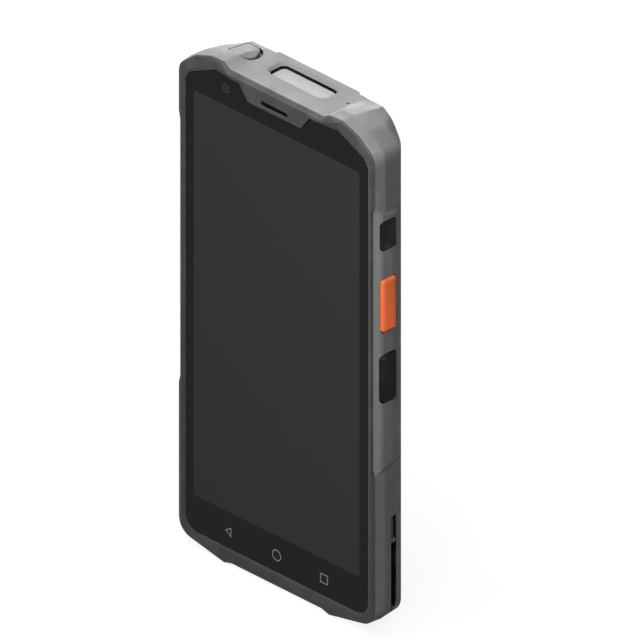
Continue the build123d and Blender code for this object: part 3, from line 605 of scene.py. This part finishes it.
@dataclass(frozen=True)
class ClearGlass:
    """Clear window or lens."""

    name: str
    tint: Colour
    roughness: float
    ior: float = 1.45
    clearness: float = 1.0
    specular: float = 0.5
    smear: float = 0.03

    def build(self) -> bpy.types.Material:
        """Make the material.

        Returns:
            The material.
        """
        material, n, shader = new_material(self.name)
        smear = n.ramp(n.noise(n.object_place(), size_mm=5.0, detail=3.0), low=0.35, high=0.7,
                       start=self.roughness, end=self.roughness + self.smear)
        n.fill(shader, {
            "Base Color": (*self.tint, 1.0),
            "Transmission Weight": self.clearness,
            "IOR": self.ior,
            "Specular IOR Level": self.specular,
            "Roughness": smear,
        })
        return material


FINISHES = {
    "frame_plastic": Moulded(
        "frame_plastic_fine_grain", (0.0535, 0.0545, 0.056), 0.5, specular=0.1),
    "housing_plastic": Moulded(
        "housing_plastic_fine_grain", (0.184, 0.187, 0.191), 0.58, grain_size=0.36, specular=0.08),
    # The camera ring colour also paints the highlight in the middle of the front camera's lens.
    "cover_glass": PrintedGlass(
        "printed_cover_glass", border=(0.0036, 0.0036, 0.0038), display=(0.0235, 0.0235, 0.0238),
        mark=(0.24, 0.24, 0.245), camera_ring=(0.045, 0.045, 0.05), roughness=0.06, specular=0.08),
    "adhesive": Moulded("adhesive_foam", (0.02, 0.02, 0.02), 0.8),
    "display": Moulded("display_panel", (0.035, 0.035, 0.037), 0.3),
    "mesh": Mesh("speaker_cloth", (0.006, 0.006, 0.0065), hole=(0.002, 0.002, 0.002), pitch=0.34),
    "black_plastic": Moulded(
        "black_plastic", (0.012, 0.012, 0.013), 0.45, grain_depth=0.003, specular=0.2),
    "lens": ClearGlass("dark_lens", (0.3, 0.31, 0.35), 0.01),
    # Besides its own slot, this near-black rubber paints shade on the walls of gaps, slots and grooves
    # in the shell and the frame.
    "seal_rubber": Moulded("seal_rubber", (0.004, 0.004, 0.004), 0.7, specular=0.05),
    "chassis_metal": Metal("cast_chassis", (0.6, 0.6, 0.61), 0.42),
    "battery_wrap": Moulded("battery_wrap", (0.04, 0.04, 0.045), 0.5),
    "board": Moulded("solder_resist", (0.02, 0.09, 0.05), 0.4),
    "shield_metal": Metal("shield_metal", (0.7, 0.7, 0.7), 0.35),
    "flex": Moulded("flex_film", (0.35, 0.17, 0.03), 0.35),
    "clear_window": ClearGlass(
        "frosted_scan_window", (0.4, 0.404, 0.406), 0.3, clearness=0.2, specular=0.15),
    "key_black": Moulded(
        "black_key_rubber", (0.008, 0.008, 0.0084), 0.62, grain_size=0.24, specular=0.06),
    "key_orange": Moulded(
        "orange_key_rubber", (1.0, 0.2, 0.062), 0.55, grain_size=0.24, specular=0.1),
    "port_rubber": Moulded("port_cover_rubber", (0.168, 0.171, 0.175), 0.62, specular=0.08),
    "contact_gold": Metal("gold_contact", (0.9, 0.65, 0.3), 0.25),
    "bezel_metal": Metal("dark_bezel_metal", (0.09, 0.09, 0.095), 0.35),
    "flash_lens": ClearGlass("flash_lens", (0.95, 0.92, 0.8), 0.15),
    "screw_steel": Metal("blackened_screw", (0.25, 0.25, 0.26), 0.35),
}


class Finishes:
    """Materials by slot name, each made when it is first asked for."""

    def __init__(self) -> None:
        """Start with no material made."""
        self.made: dict[str, bpy.types.Material] = {}

    def get(self, slot: str) -> bpy.types.Material:
        """Find the material of a slot, or make it.

        Args:
            slot: name of the record's material slot.

        Returns:
            The material.
        """
        if slot not in self.made:
            self.made[slot] = FINISHES[slot].build()
        return self.made[slot]


# ---------------------------------------------------------------- studio


@dataclass
class Softbox:
    """A square soft lamp that points at the middle of the terminal.

    Its distance and its size are in metres, its power in watts.
    """

    name: str
    direction: Point
    distance: float
    size: float
    power: float

    def build(self, target: Vector) -> bpy.types.Object:
        """Place the lamp.

        Args:
            target: point that it faces.

        Returns:
            The lamp's object.
        """
        data = bpy.data.lights.new(self.name, "AREA")
        data.shape, data.size, data.energy = "SQUARE", self.size, self.power
        lamp = new_object(self.name, data)
        towards = Vector(self.direction).normalized()
        lamp.location = target + towards * self.distance
        lamp.rotation_euler = towards.to_track_quat("Z", "Y").to_euler()
        return lamp


@dataclass
class Studio:
    """Camera, pale floor, soft lamps and a white world."""

    azimuth: float = 45.0
    elevation: float = 30.0
    view_width: float = 170.9
    target: Point = (MIDDLE_X, -7.7, 78.7)
    shift_right: float = 11.6
    shift_up: float = 3.6
    distance: float = 900.0
    clip_end: float = 10000.0
    floor_half: float = 3000.0
    floor_shade: float = 0.12
    floor_glow: float = 0.88
    ambient: float = 0.03
    lamps: list[Softbox] = field(default_factory=lambda: [
        Softbox("front_lamp", (0.6, -0.8, 0.7), 0.42, 0.22, 1.2),
        Softbox("low_lamp", (0.36, -0.93, 0.3), 0.5, 0.25, 0.33),
        Softbox("top_lamp", (-0.15, -0.2, 1.0), 0.45, 0.25, 2.15),
        Softbox("back_lamp", (-0.6, 0.8, 0.25), 0.6, 0.25, 3.0),
    ])

    def axes(self) -> tuple[Vector, Vector, Vector]:
        """Directions of the view.

        Returns:
            Right, up and backwards, in the terminal's frame.
        """
        a, e = math.radians(self.azimuth), math.radians(self.elevation)
        back = Vector((math.sin(a) * math.cos(e), -math.cos(a) * math.cos(e), math.sin(e)))
        right = Vector((math.cos(a), math.sin(a), 0.0))
        return right, back.cross(right), back

    def camera(self) -> bpy.types.Object:
        """Make the parallel-view camera.

        Returns:
            The camera's object.
        """
        data = bpy.data.cameras.new("view")
        data.type, data.ortho_scale = "ORTHO", self.view_width * MM
        data.clip_end = self.clip_end * MM
        camera = new_object("view", data)
        right, up, back = self.axes()
        middle = Vector(self.target) + right * self.shift_right + up * self.shift_up
        turn = Matrix((right, up, back)).transposed().to_4x4()
        camera.matrix_world = Matrix.Translation((middle + back * self.distance) * MM) @ turn
        bpy.context.scene.camera = camera
        return camera

    def background(self, nodes: Nodes, lit: Socket, seen: Socket) -> Socket:
        """Show one shader to the camera, in mirrors and through glass, and light with another.

        Args:
            nodes: helper of the material or the world.
            lit: shader that lights the terminal.
            seen: shader that the camera sees.

        Returns:
            The mixed shader's socket.
        """
        path = nodes.add("ShaderNodeLightPath")
        direct = nodes.math("MAXIMUM", path.outputs["Is Camera Ray"], path.outputs["Is Glossy Ray"])
        shown = nodes.math("MAXIMUM", direct, path.outputs["Is Transmission Ray"])
        mix = nodes.add("ShaderNodeMixShader")
        for slot, value in zip(mix.inputs, (shown, lit, seen)):
            nodes.feed(slot, value)
        return mix.outputs[0]

    def world(self) -> None:
        """Make dim surroundings that the camera sees as white."""
        world = bpy.data.worlds.new("studio")
        bpy.context.scene.world = world
        world.use_nodes = True
        n = Nodes(world.node_tree)
        world.node_tree.nodes.clear()
        shades = []
        for strength in (self.ambient, 1.0):
            shade = n.add("ShaderNodeBackground")
            n.fill(shade, {"Color": WHITE, "Strength": strength})
            shades.append(shade.outputs[0])
        n.feed(n.add("ShaderNodeOutputWorld").inputs["Surface"], self.background(n, *shades))

    def floor(self) -> bpy.types.Object:
        """Make the pale floor, which takes the terminal's soft shadow.

        Returns:
            The floor's object.
        """
        bm = bmesh.new()
        bmesh.ops.create_grid(bm, x_segments=1, y_segments=1, size=self.floor_half * MM)
        mesh = bpy.data.meshes.new("floor")
        bm.to_mesh(mesh)
        bm.free()
        floor = new_object("floor", mesh)
        material = bpy.data.materials.new("pale_floor")
        material.use_nodes = True
        n = Nodes(material.node_tree)
        material.node_tree.nodes.clear()
        paper = n.add("ShaderNodeBsdfDiffuse")
        n.fill(paper, {"Color": (self.floor_shade,) * 3 + (1.0,)})
        glow = n.add("ShaderNodeEmission")
        n.fill(glow, {"Strength": self.floor_glow})
        both = n.add("ShaderNodeAddShader")
        n.feed(both.inputs[0], paper.outputs[0])
        n.feed(both.inputs[1], glow.outputs[0])
        surface = self.background(n, paper.outputs[0], both.outputs[0])
        n.feed(n.add("ShaderNodeOutputMaterial").inputs["Surface"], surface)
        mesh.materials.append(material)
        return floor

    def build(self) -> None:
        """Make the whole studio."""
        self.camera()
        self.world()
        self.floor()
        for lamp in self.lamps:
            lamp.build(Vector(self.target) * MM)
        bpy.context.scene.view_settings.view_transform = "Standard"
        log.info("studio: %d lamps", len(self.lamps))


# ---------------------------------------------------------------- pieces


@dataclass(frozen=True)
class EdgeRule:
    """Which outer edges of a solid get rounded, and how much.

    An edge follows the first rule whose angle, length and place it meets. Its place counts
    without its sign, so that one rule serves both sides. Angles are in degrees: low and high
    limit the bend over the edge, and narrowest its opening to the next edges.
    """

    radius: float
    low: float = 30.0
    high: float = 180.0
    min_length: float = 0.0
    narrowest: float = 24.0
    lowest: Point = (-FAR, -FAR, -FAR)
    highest: Point = (FAR, FAR, FAR)

    def fits(self, edge: bmesh.types.BMEdge) -> bool:
        """Whether the rule holds for an edge.

        Args:
            edge: an edge of a closed mesh.

        Returns:
            True if its angle, length and both ends are within the rule's limits.
        """
        bent = self.low <= math.degrees(edge.calc_face_angle(0.0)) <= self.high
        if not (edge.is_convex and bent and edge.calc_length() >= self.min_length * MM):
            return False
        inside = all(low * MM <= abs(value) <= high * MM for vert in edge.verts
                     for low, value, high in zip(self.lowest, vert.co, self.highest))
        return inside and self.opening(edge) >= self.narrowest

    def opening(self, edge: bmesh.types.BMEdge) -> float:
        """Smallest angle between an edge and the next edges of its two faces.

        Args:
            edge: an edge of a closed mesh.

        Returns:
            The angle in degrees; a small one would draw the rounding out into a spike.
        """
        narrow = 180.0
        for loop in edge.link_loops:
            after = loop.link_loop_next
            for near, corner in ((loop.link_loop_prev, loop.vert), (after, after.vert)):
                along = near.edge.other_vert(corner).co - corner.co
                mine = edge.other_vert(corner).co - corner.co
                if near.edge != edge and along.length and mine.length:
                    narrow = min(narrow, math.degrees(mine.angle(along)))
        return narrow


# The seam of frame and housing stays crisp where it runs over the top.
TOP_SEAM = EdgeRule(0.0, low=0.0, narrowest=0.0, lowest=(0.0, 7.2, 148.0), highest=(FAR, 7.4, FAR))


@dataclass(frozen=True)
class Finish:
    """What a finished piece is called, stands for and is made of."""

    name: str
    node: str
    slot: str


class Workshop:
    """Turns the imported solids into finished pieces.

    Where a rounding folds a face over by more than fold_area, the edges within reach keep
    the share easing of their rounding, and the mesh is rounded again.
    """

    weld: float = 1e-6  # metres
    flat_angle: float = 0.4  # degrees between faces that count as one
    tries: int = 10
    reach: float = 0.8
    easing: float = 0.5
    fold_area: float = 0.02
    full_wear: float = 30.0  # degrees of bend
    facing: float = 0.1  # least cosine to a hollow's middle for one of its walls
    face_weight: int = 50

    def __init__(self, finishes: Finishes) -> None:
        """Keep the materials and read the slot of every solid."""
        self.finishes = finishes
        self.slots = {part["node"]: part["material_slot"] for part in frame["record"]["subparts"]}

    def closed_copy(self, node: str, cuts: Sequence[tuple[Axis, float]] = ()) -> bmesh.types.BMesh:
        """Copy a solid's mesh, with its triangles joined into whole faces.

        Args:
            node: the solid's name.
            cuts: planes at which large faces stay divided, so that none runs round an opening.

        Returns:
            The copy.
        """
        bm = bmesh.new()
        bm.from_mesh(frame["nodes"][node].data)
        bmesh.ops.remove_doubles(bm, verts=bm.verts, dist=self.weld)
        for axis, place in cuts:
            normal = Vector([float(axis.value == index) for index in range(3)])
            cut = bmesh.ops.bisect_plane(bm, geom=[*bm.verts, *bm.edges, *bm.faces], dist=self.weld,
                                         plane_co=normal * place * MM, plane_no=normal)
            for edge in (part for part in cut["geom_cut"] if isinstance(part, bmesh.types.BMEdge)):
                edge.seam = True
        bmesh.ops.dissolve_limit(bm, angle_limit=math.radians(self.flat_angle), verts=bm.verts,
                                 edges=bm.edges, delimit={"SEAM"})
        return bm

    def rounded(self, bm: bmesh.types.BMesh, rules: Sequence[EdgeRule],
                segments: int = 3) -> bmesh.types.BMesh:
        """Round the outer edges, each by its own rule, less where a rounding would fold a face over.

        Args:
            bm: a closed mesh, which is used up.
            rules: the rules, the first that fits counting.
            segments: faces across a rounded edge.

        Returns:
            The rounded mesh, with the wear attribute on its points.
        """
        widest = max(rule.radius for rule in rules)
        weight = bm.edges.layers.float.new("bevel_weight_edge")
        for edge in bm.edges:
            rule = next((rule for rule in rules if rule.fits(edge)), None)
            edge[weight] = rule.radius / widest if rule else 0.0
        finder = KDTree(len(bm.verts))
        for index, vert in enumerate(bm.verts):
            finder.insert(vert.co, index)
        finder.balance()
        bm.verts.ensure_lookup_table()
        for _ in range(self.tries):
            result = self.bevelled(bm, widest, segments)
            spots = self.folds(result)
            if not spots:
                break
            near = {index for spot in spots for _, index, _ in finder.find_range(spot, self.reach * MM)}
            for edge in {edge for index in near for edge in bm.verts[index].link_edges}:
                edge[weight] *= self.easing
        log.info("rounding done, %d folds left", len(spots))
        bm.free()
        wear = result.verts.layers.float.new(EDGE_WEAR)
        for vert in result.verts:
            outer = (edge for edge in vert.link_edges if edge.is_manifold and edge.is_convex)
            bend = max((edge.calc_face_angle(0.0) for edge in outer), default=0.0)
            vert[wear] = min(1.0, math.degrees(bend) / self.full_wear)
        return result

    def bevelled(self, bm: bmesh.types.BMesh, width: float, segments: int) -> bmesh.types.BMesh:
        """Bevel a mesh by the weights of its edges.

        Args:
            bm: the mesh, which is kept.
            width: width in millimetres at a weight of 1.
            segments: faces across a bevel.

        Returns:
            The bevelled copy.
        """
        mesh = bpy.data.meshes.new("rounding")
        bm.to_mesh(mesh)
        carrier = new_object("rounding", mesh)
        bevel = carrier.modifiers.new("rounding", "BEVEL")
        bevel.limit_method, bevel.width, bevel.segments = "WEIGHT", width * MM, segments
        bevel.use_clamp_overlap, bevel.affect = False, "EDGES"
        bpy.context.view_layer.update()
        result = bmesh.new()
        result.from_object(carrier, bpy.context.evaluated_depsgraph_get())
        bpy.data.objects.remove(carrier)
        bpy.data.meshes.remove(mesh)
        return result

    def folds(self, bm: bmesh.types.BMesh) -> list[Vector]:
        """Find where a face is folded over itself.

        Args:
            bm: a mesh.

        Returns:
            Corners of the triangles that face the wrong way.
        """
        spots = []
        for corners in bm.calc_loop_triangles():
            first, second, third = (corner.vert.co for corner in corners)
            area = (second - first).cross(third - first).dot(corners[0].face.normal) / 2
            if area < -self.fold_area * MM * MM:
                spots += [first, second, third]
        return spots

    def line_gaps(self, bm: bmesh.types.BMesh, nodes: Sequence[str],
                  room: float = 0.8, largest: float = 12.0) -> None:
        """Paint shade on the walls round some inset pieces, by giving them the second material.

        Args:
            bm: mesh of the solid that holds them.
            nodes: the inset pieces.
            room: how far round a piece its walls lie, in millimetres.
            largest: area in square millimetres above which a face is no wall.
        """
        margin = Vector((room,) * 3) * MM
        boxes = [(Vector(low) - margin, Vector(high) + margin) for low, high in map(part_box, nodes)]
        self.line_boxes(bm, boxes, largest)

    def line_boxes(self, bm: bmesh.types.BMesh, boxes: Sequence[Box], largest: float) -> None:
        """Paint shade on the walls and the floor of some hollows, by giving them the second material.

        Args:
            bm: mesh of the solid that holds them.
            boxes: lowest and highest corner of each hollow, in metres.
            largest: area in square millimetres above which a face is no wall.
        """
        for face in bm.faces:
            middle = face.calc_center_median()
            for low, high in boxes:
                inside = all(low[i] < middle[i] < high[i] for i in range(3))
                inwards = face.normal.dot(((low + high) / 2 - middle).normalized()) > self.facing
                if inside and inwards and face.calc_area() < largest * MM * MM:
                    # The second material is painted shade.
                    face.material_index = 1

    def put(self, bm: bmesh.types.BMesh, finish: Finish,
            sharp: float = 34.0, shade_slot: str = "") -> bpy.types.Object:
        """Make a mesh the finished piece that stands for a solid.

        Args:
            bm: the mesh, which is used up.
            finish: its name, solid and material.
            sharp: angle in degrees above which shading breaks.
            shade_slot: slot whose near-black material paints shade on the faces picked for it, if any
                are.

        Returns:
            The piece.
        """
        mesh = bpy.data.meshes.new(finish.name)
        for face in bm.faces:
            face.smooth = True
        bm.to_mesh(mesh)
        bm.free()
        mesh.set_sharp_from_angle(angle=math.radians(sharp))
        piece = new_object(finish.name, mesh)
        flat = piece.modifiers.new("flat_faces", "WEIGHTED_NORMAL")
        flat.mode, flat.weight, flat.keep_sharp = "FACE_AREA", self.face_weight, True
        for slot in filter(None, (finish.slot, shade_slot)):
            mesh.materials.append(self.finishes.get(slot))
        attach(piece, frame["nodes"][finish.node]["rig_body"])
        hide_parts(finish.node)
        log.info("piece %s stands for %s: %d faces", finish.name, finish.node, len(mesh.polygons))
        return piece

    def dress_solids(self) -> None:
        """Give every solid that keeps its own mesh the finish of its slot."""
        for name, node in frame["nodes"].items():
            node.data.materials.clear()
            node.data.materials.append(self.finishes.get(self.slots[name]))
            log.info("solid %s: %s", name, self.slots[name])


@dataclass
class Housing:
    """Rear housing and battery cover, with softened facets, rounded edges and painted shade in their
    gaps and grooves.
    """

    edge: float = 0.15
    crease: float = 0.4
    pad_crease: float = 1.0
    pad_low: Point = (37.0, 0.0, 0.0)
    ear_crease: float = 0.3
    ear_low: Point = (0.0, 3.07, 146.0)
    ear_high: Point = (FAR, 3.13, FAR)
    corner_crease: float = 0.12
    corner_low: Point = (26.0, 3.2, 140.0)
    # Through the middle, across at half height and across at the loudspeaker's slots.
    cuts: tuple[tuple[Axis, float], ...] = ((Axis.X, MIDDLE_X), (Axis.Z, 78.0), (Axis.Z, 6.0))
    inset_pieces: tuple[str, ...] = ("power_key", "scan_key", "volume_key", "port_cover")
    groove_low: Point = (35.6, -1.65, 4.0)
    groove_high: Point = (37.3, 0.75, 34.7)
    widest_wall: float = 80.0  # square millimetres
    seal_room: float = 0.5

    def rules(self) -> list[EdgeRule]:
        """List the edge rules, from the most particular to the plainest.

        Returns:
            The rules of the seam, ears, head's corners, pads, facets and all other edges.
        """
        return [
            TOP_SEAM,
            EdgeRule(self.ear_crease, low=4.0, high=60.0, min_length=0.2,
                     lowest=self.ear_low, highest=self.ear_high),
            EdgeRule(self.corner_crease, low=4.0, high=60.0, lowest=self.corner_low),
            EdgeRule(self.pad_crease, low=8.0, high=40.0, min_length=2.0, lowest=self.pad_low),
            EdgeRule(self.crease, low=12.0, high=38.0, min_length=2.5),
            EdgeRule(self.edge, low=38.0),
        ]

    def strap_grooves(self) -> list[Box]:
        """Find the strap pocket and the guide groove in both sides.

        Returns:
            Lowest and highest corner, in metres, of a box round each side's hollows.
        """
        (x0, y0, z0), (x1, y1, z1) = self.groove_low, self.groove_high
        sides = ((MIDDLE_X + x0, MIDDLE_X + x1), (MIDDLE_X - x1, MIDDLE_X - x0))
        return [(Vector((left, y0, z0)) * MM, Vector((right, y1, z1)) * MM) for left, right in sides]

    def build(self, shop: Workshop) -> None:
        """Make both pieces.

        Args:
            shop: the workshop.
        """
        for name, node in (("housing_shell", "rear_housing"), ("battery_lid", "battery_cover")):
            bm = shop.rounded(shop.closed_copy(node, self.cuts), self.rules())
            # Painted shade: the walls round the keys, the port cover and the window seal, and the walls
            # and floors of the strap grooves, get the near-black second material.
            shop.line_gaps(bm, self.inset_pieces)
            shop.line_gaps(bm, ("window_seal",), self.seal_room, self.widest_wall)
            shop.line_boxes(bm, self.strap_grooves(), self.widest_wall)
            shop.put(bm, Finish(name, node, "housing_plastic"), shade_slot="seal_rubber")


@dataclass
class FrontFrame:
    """Frame round the glass, whose side strips fall off over a narrow run to a rounded lip, with
    painted shade on the walls of the earpiece slot.
    """

    edge: float = 0.14
    lip: float = 0.25
    lip_from: float = 36.3
    lip_run: float = 0.35
    lip_slope: float = 0.65
    front: float = -8.0
    front_near: float = 0.01
    soft_angle: float = 50.0
    cuts: tuple[tuple[Axis, float], ...] = ((Axis.X, MIDDLE_X),)
    slots: tuple[str, ...] = ("earpiece_mesh",)

    def slope_lip(self, bm: bmesh.types.BMesh) -> None:
        """Let the front of both side strips fall off towards their outer edge.

        Args:
            bm: mesh of the frame.
        """
        for vert in bm.verts:
            across = vert.co.x / MM - MIDDLE_X
            share = min(1.0, max(0.0, (abs(across) - self.lip_from) / self.lip_run))
            if abs(vert.co.y / MM - self.front) < self.front_near:
                vert.co.x -= math.copysign(self.lip_slope * share, across) * MM

    def build(self, shop: Workshop) -> None:
        """Make the frame.

        Args:
            shop: the workshop.
        """
        lip = EdgeRule(self.lip, low=12.0, high=60.0, min_length=2.0)
        bm = shop.closed_copy("front_frame", self.cuts)
        self.slope_lip(bm)
        bm = shop.rounded(bm, [TOP_SEAM, lip, EdgeRule(self.edge, low=38.0)])
        # Painted shade: the walls round the earpiece mesh get the near-black second material.
        shop.line_gaps(bm, self.slots)
        finish = Finish("front_bezel", "front_frame", "frame_plastic")
        shop.put(bm, finish, self.soft_angle, shade_slot="seal_rubber")


@dataclass
class SideKeys:
    """Power, scan and volume keys: rounded caps, a grip of small domes and a felt mark."""

    edge: float = 0.14
    level: float = 0.01  # how near to the outermost point the outer face lies
    outward: float = 0.99  # least cosine of the outer face to X
    dot_pitch: Span = (0.8, 0.86)
    dot_radius: float = 0.26
    dot_height: float = 0.16
    dot_margin: float = 0.55
    mark_size: Point = (0.1, 1.3, 0.36)  # rise, length and width
    mark_round: float = 0.25  # share of its width

    def outer_face(self, bm: bmesh.types.BMesh) -> Box:
        """Find the flat outer face.

        Args:
            bm: mesh of a key.

        Returns:
            Its lowest and highest corner.
        """
        outer = (face for face in bm.faces if face.normal.x > self.outward)
        face = max(outer, key=lambda candidate: candidate.calc_area())
        corners = [vert.co for vert in face.verts]
        return (Vector([min(c[axis.value] for c in corners) for axis in Axis]),
                Vector([max(c[axis.value] for c in corners) for axis in Axis]))

    def make_room(self, bm: bmesh.types.BMesh) -> None:
        """Lower the outer face by the height of what stands on it.

        Args:
            bm: mesh of the scan key or the power key.
        """
        outermost = max(vert.co.x for vert in bm.verts)
        raised = [vert for vert in bm.verts if vert.co.x > outermost - self.level * MM]
        bmesh.ops.translate(bm, verts=raised, vec=(-self.dot_height * MM, 0.0, 0.0))

    def grip(self, bm: bmesh.types.BMesh) -> int:
        """Cover the outer face with rows of small domes, every second row shifted.

        Args:
            bm: mesh of the scan key.

        Returns:
            Number of domes.
        """
        low, high = self.outer_face(bm)
        inset = Vector((0.0, self.dot_margin, self.dot_margin)) * MM
        low, high = low + inset, high - inset
        pitch_y, pitch_z = (pitch * MM for pitch in self.dot_pitch)
        flat = Matrix.Diagonal((self.dot_height / self.dot_radius, 1.0, 1.0, 1.0))
        rows = int((high.z - low.z) / pitch_z + 0.5)  # the nearest whole number
        count = 0
        for row in range(rows + 1):
            start = low.y + pitch_y / 2 * (row % 2)
            up = low.z + row * (high.z - low.z) / rows
            columns = int((high.y - start) / pitch_y + 1.01)  # both ends count, with some slack
            for column in range(columns):
                place = Matrix.Translation((low.x, start + column * pitch_y, up))
                bmesh.ops.create_uvsphere(bm, u_segments=8, v_segments=6, radius=self.dot_radius * MM,
                                          matrix=place @ flat)
                count += 1
        return count

    def mark(self, bm: bmesh.types.BMesh) -> None:
        """Raise a short rounded bar, to be felt with a finger.

        Args:
            bm: mesh of the power key.
        """
        low, high = self.outer_face(bm)
        rise, length, width = (size * MM for size in self.mark_size)
        half_sunk = Matrix.Diagonal((rise * 2, length, width, 1.0))
        middle = Matrix.Translation((low + high) / 2)
        bar = bmesh.ops.create_cube(bm, size=1.0, matrix=middle @ half_sunk)
        edges = {edge for vert in bar["verts"] for edge in vert.link_edges}
        bmesh.ops.bevel(bm, geom=list(edges), offset=width * self.mark_round, segments=2, profile=0.5,
                        affect="EDGES", material=-1)

    def build(self, shop: Workshop) -> None:
        """Make the three keys.

        Args:
            shop: the workshop.
        """
        for node in ("power_key", "scan_key", "volume_key"):
            bm = shop.closed_copy(node)
            if node != "volume_key":
                self.make_room(bm)
            bm = shop.rounded(bm, [EdgeRule(self.edge)])
            if node == "scan_key":
                log.info("grip of the scan key: %d domes", self.grip(bm))
            if node == "power_key":
                self.mark(bm)
            shop.put(bm, Finish(f"{node}_cap", node, shop.slots[node]))


@dataclass
class TopEnd:
    """Port cover, with a gap for a fingernail at its round end, and scan window."""

    edge: float = 0.14
    round_x: float = -21.6  # where the round end starts
    round_radius: float = 3.8
    nail_gap: float = 0.7

    def open_nail_gap(self, bm: bmesh.types.BMesh) -> None:
        """Pull the port cover's round end back, so that a fingernail fits in front of it.

        Args:
            bm: mesh of the port cover.
        """
        for vert in bm.verts:
            share = max(0.0, vert.co.x / MM - self.round_x) / self.round_radius
            vert.co.x -= self.nail_gap * share * MM

    def build(self, shop: Workshop) -> None:
        """Round the port cover and the window.

        Args:
            shop: the workshop.
        """
        for name, node in (("port_flap", "port_cover"), ("scan_pane", "scan_window")):
            bm = shop.closed_copy(node)
            if node == "port_cover":
                self.open_nail_gap(bm)
            bm = shop.rounded(bm, [EdgeRule(self.edge, low=45.0)])
            shop.put(bm, Finish(name, node, shop.slots[node]))


@dataclass
class BackCamera:
    """Bezel round the rear camera."""

    edge: float = 0.1

    def build(self, shop: Workshop) -> None:
        """Round the bezel."""
        bm = shop.rounded(shop.closed_copy("camera_bezel"), [EdgeRule(self.edge, low=35.0)])
        shop.put(bm, Finish("camera_ring", "camera_bezel", "bezel_metal"))


def main() -> None:
    """Build the studio and every piece."""
    logging.basicConfig(level=logging.INFO, format="%(name)s: %(message)s")
    shop = Workshop(Finishes())
    Studio().build()
    shop.dress_solids()
    for assembly in (Housing(), FrontFrame(), SideKeys(), TopEnd(), BackCamera()):
        assembly.build(shop)


if __name__ == "__main__":
    main()
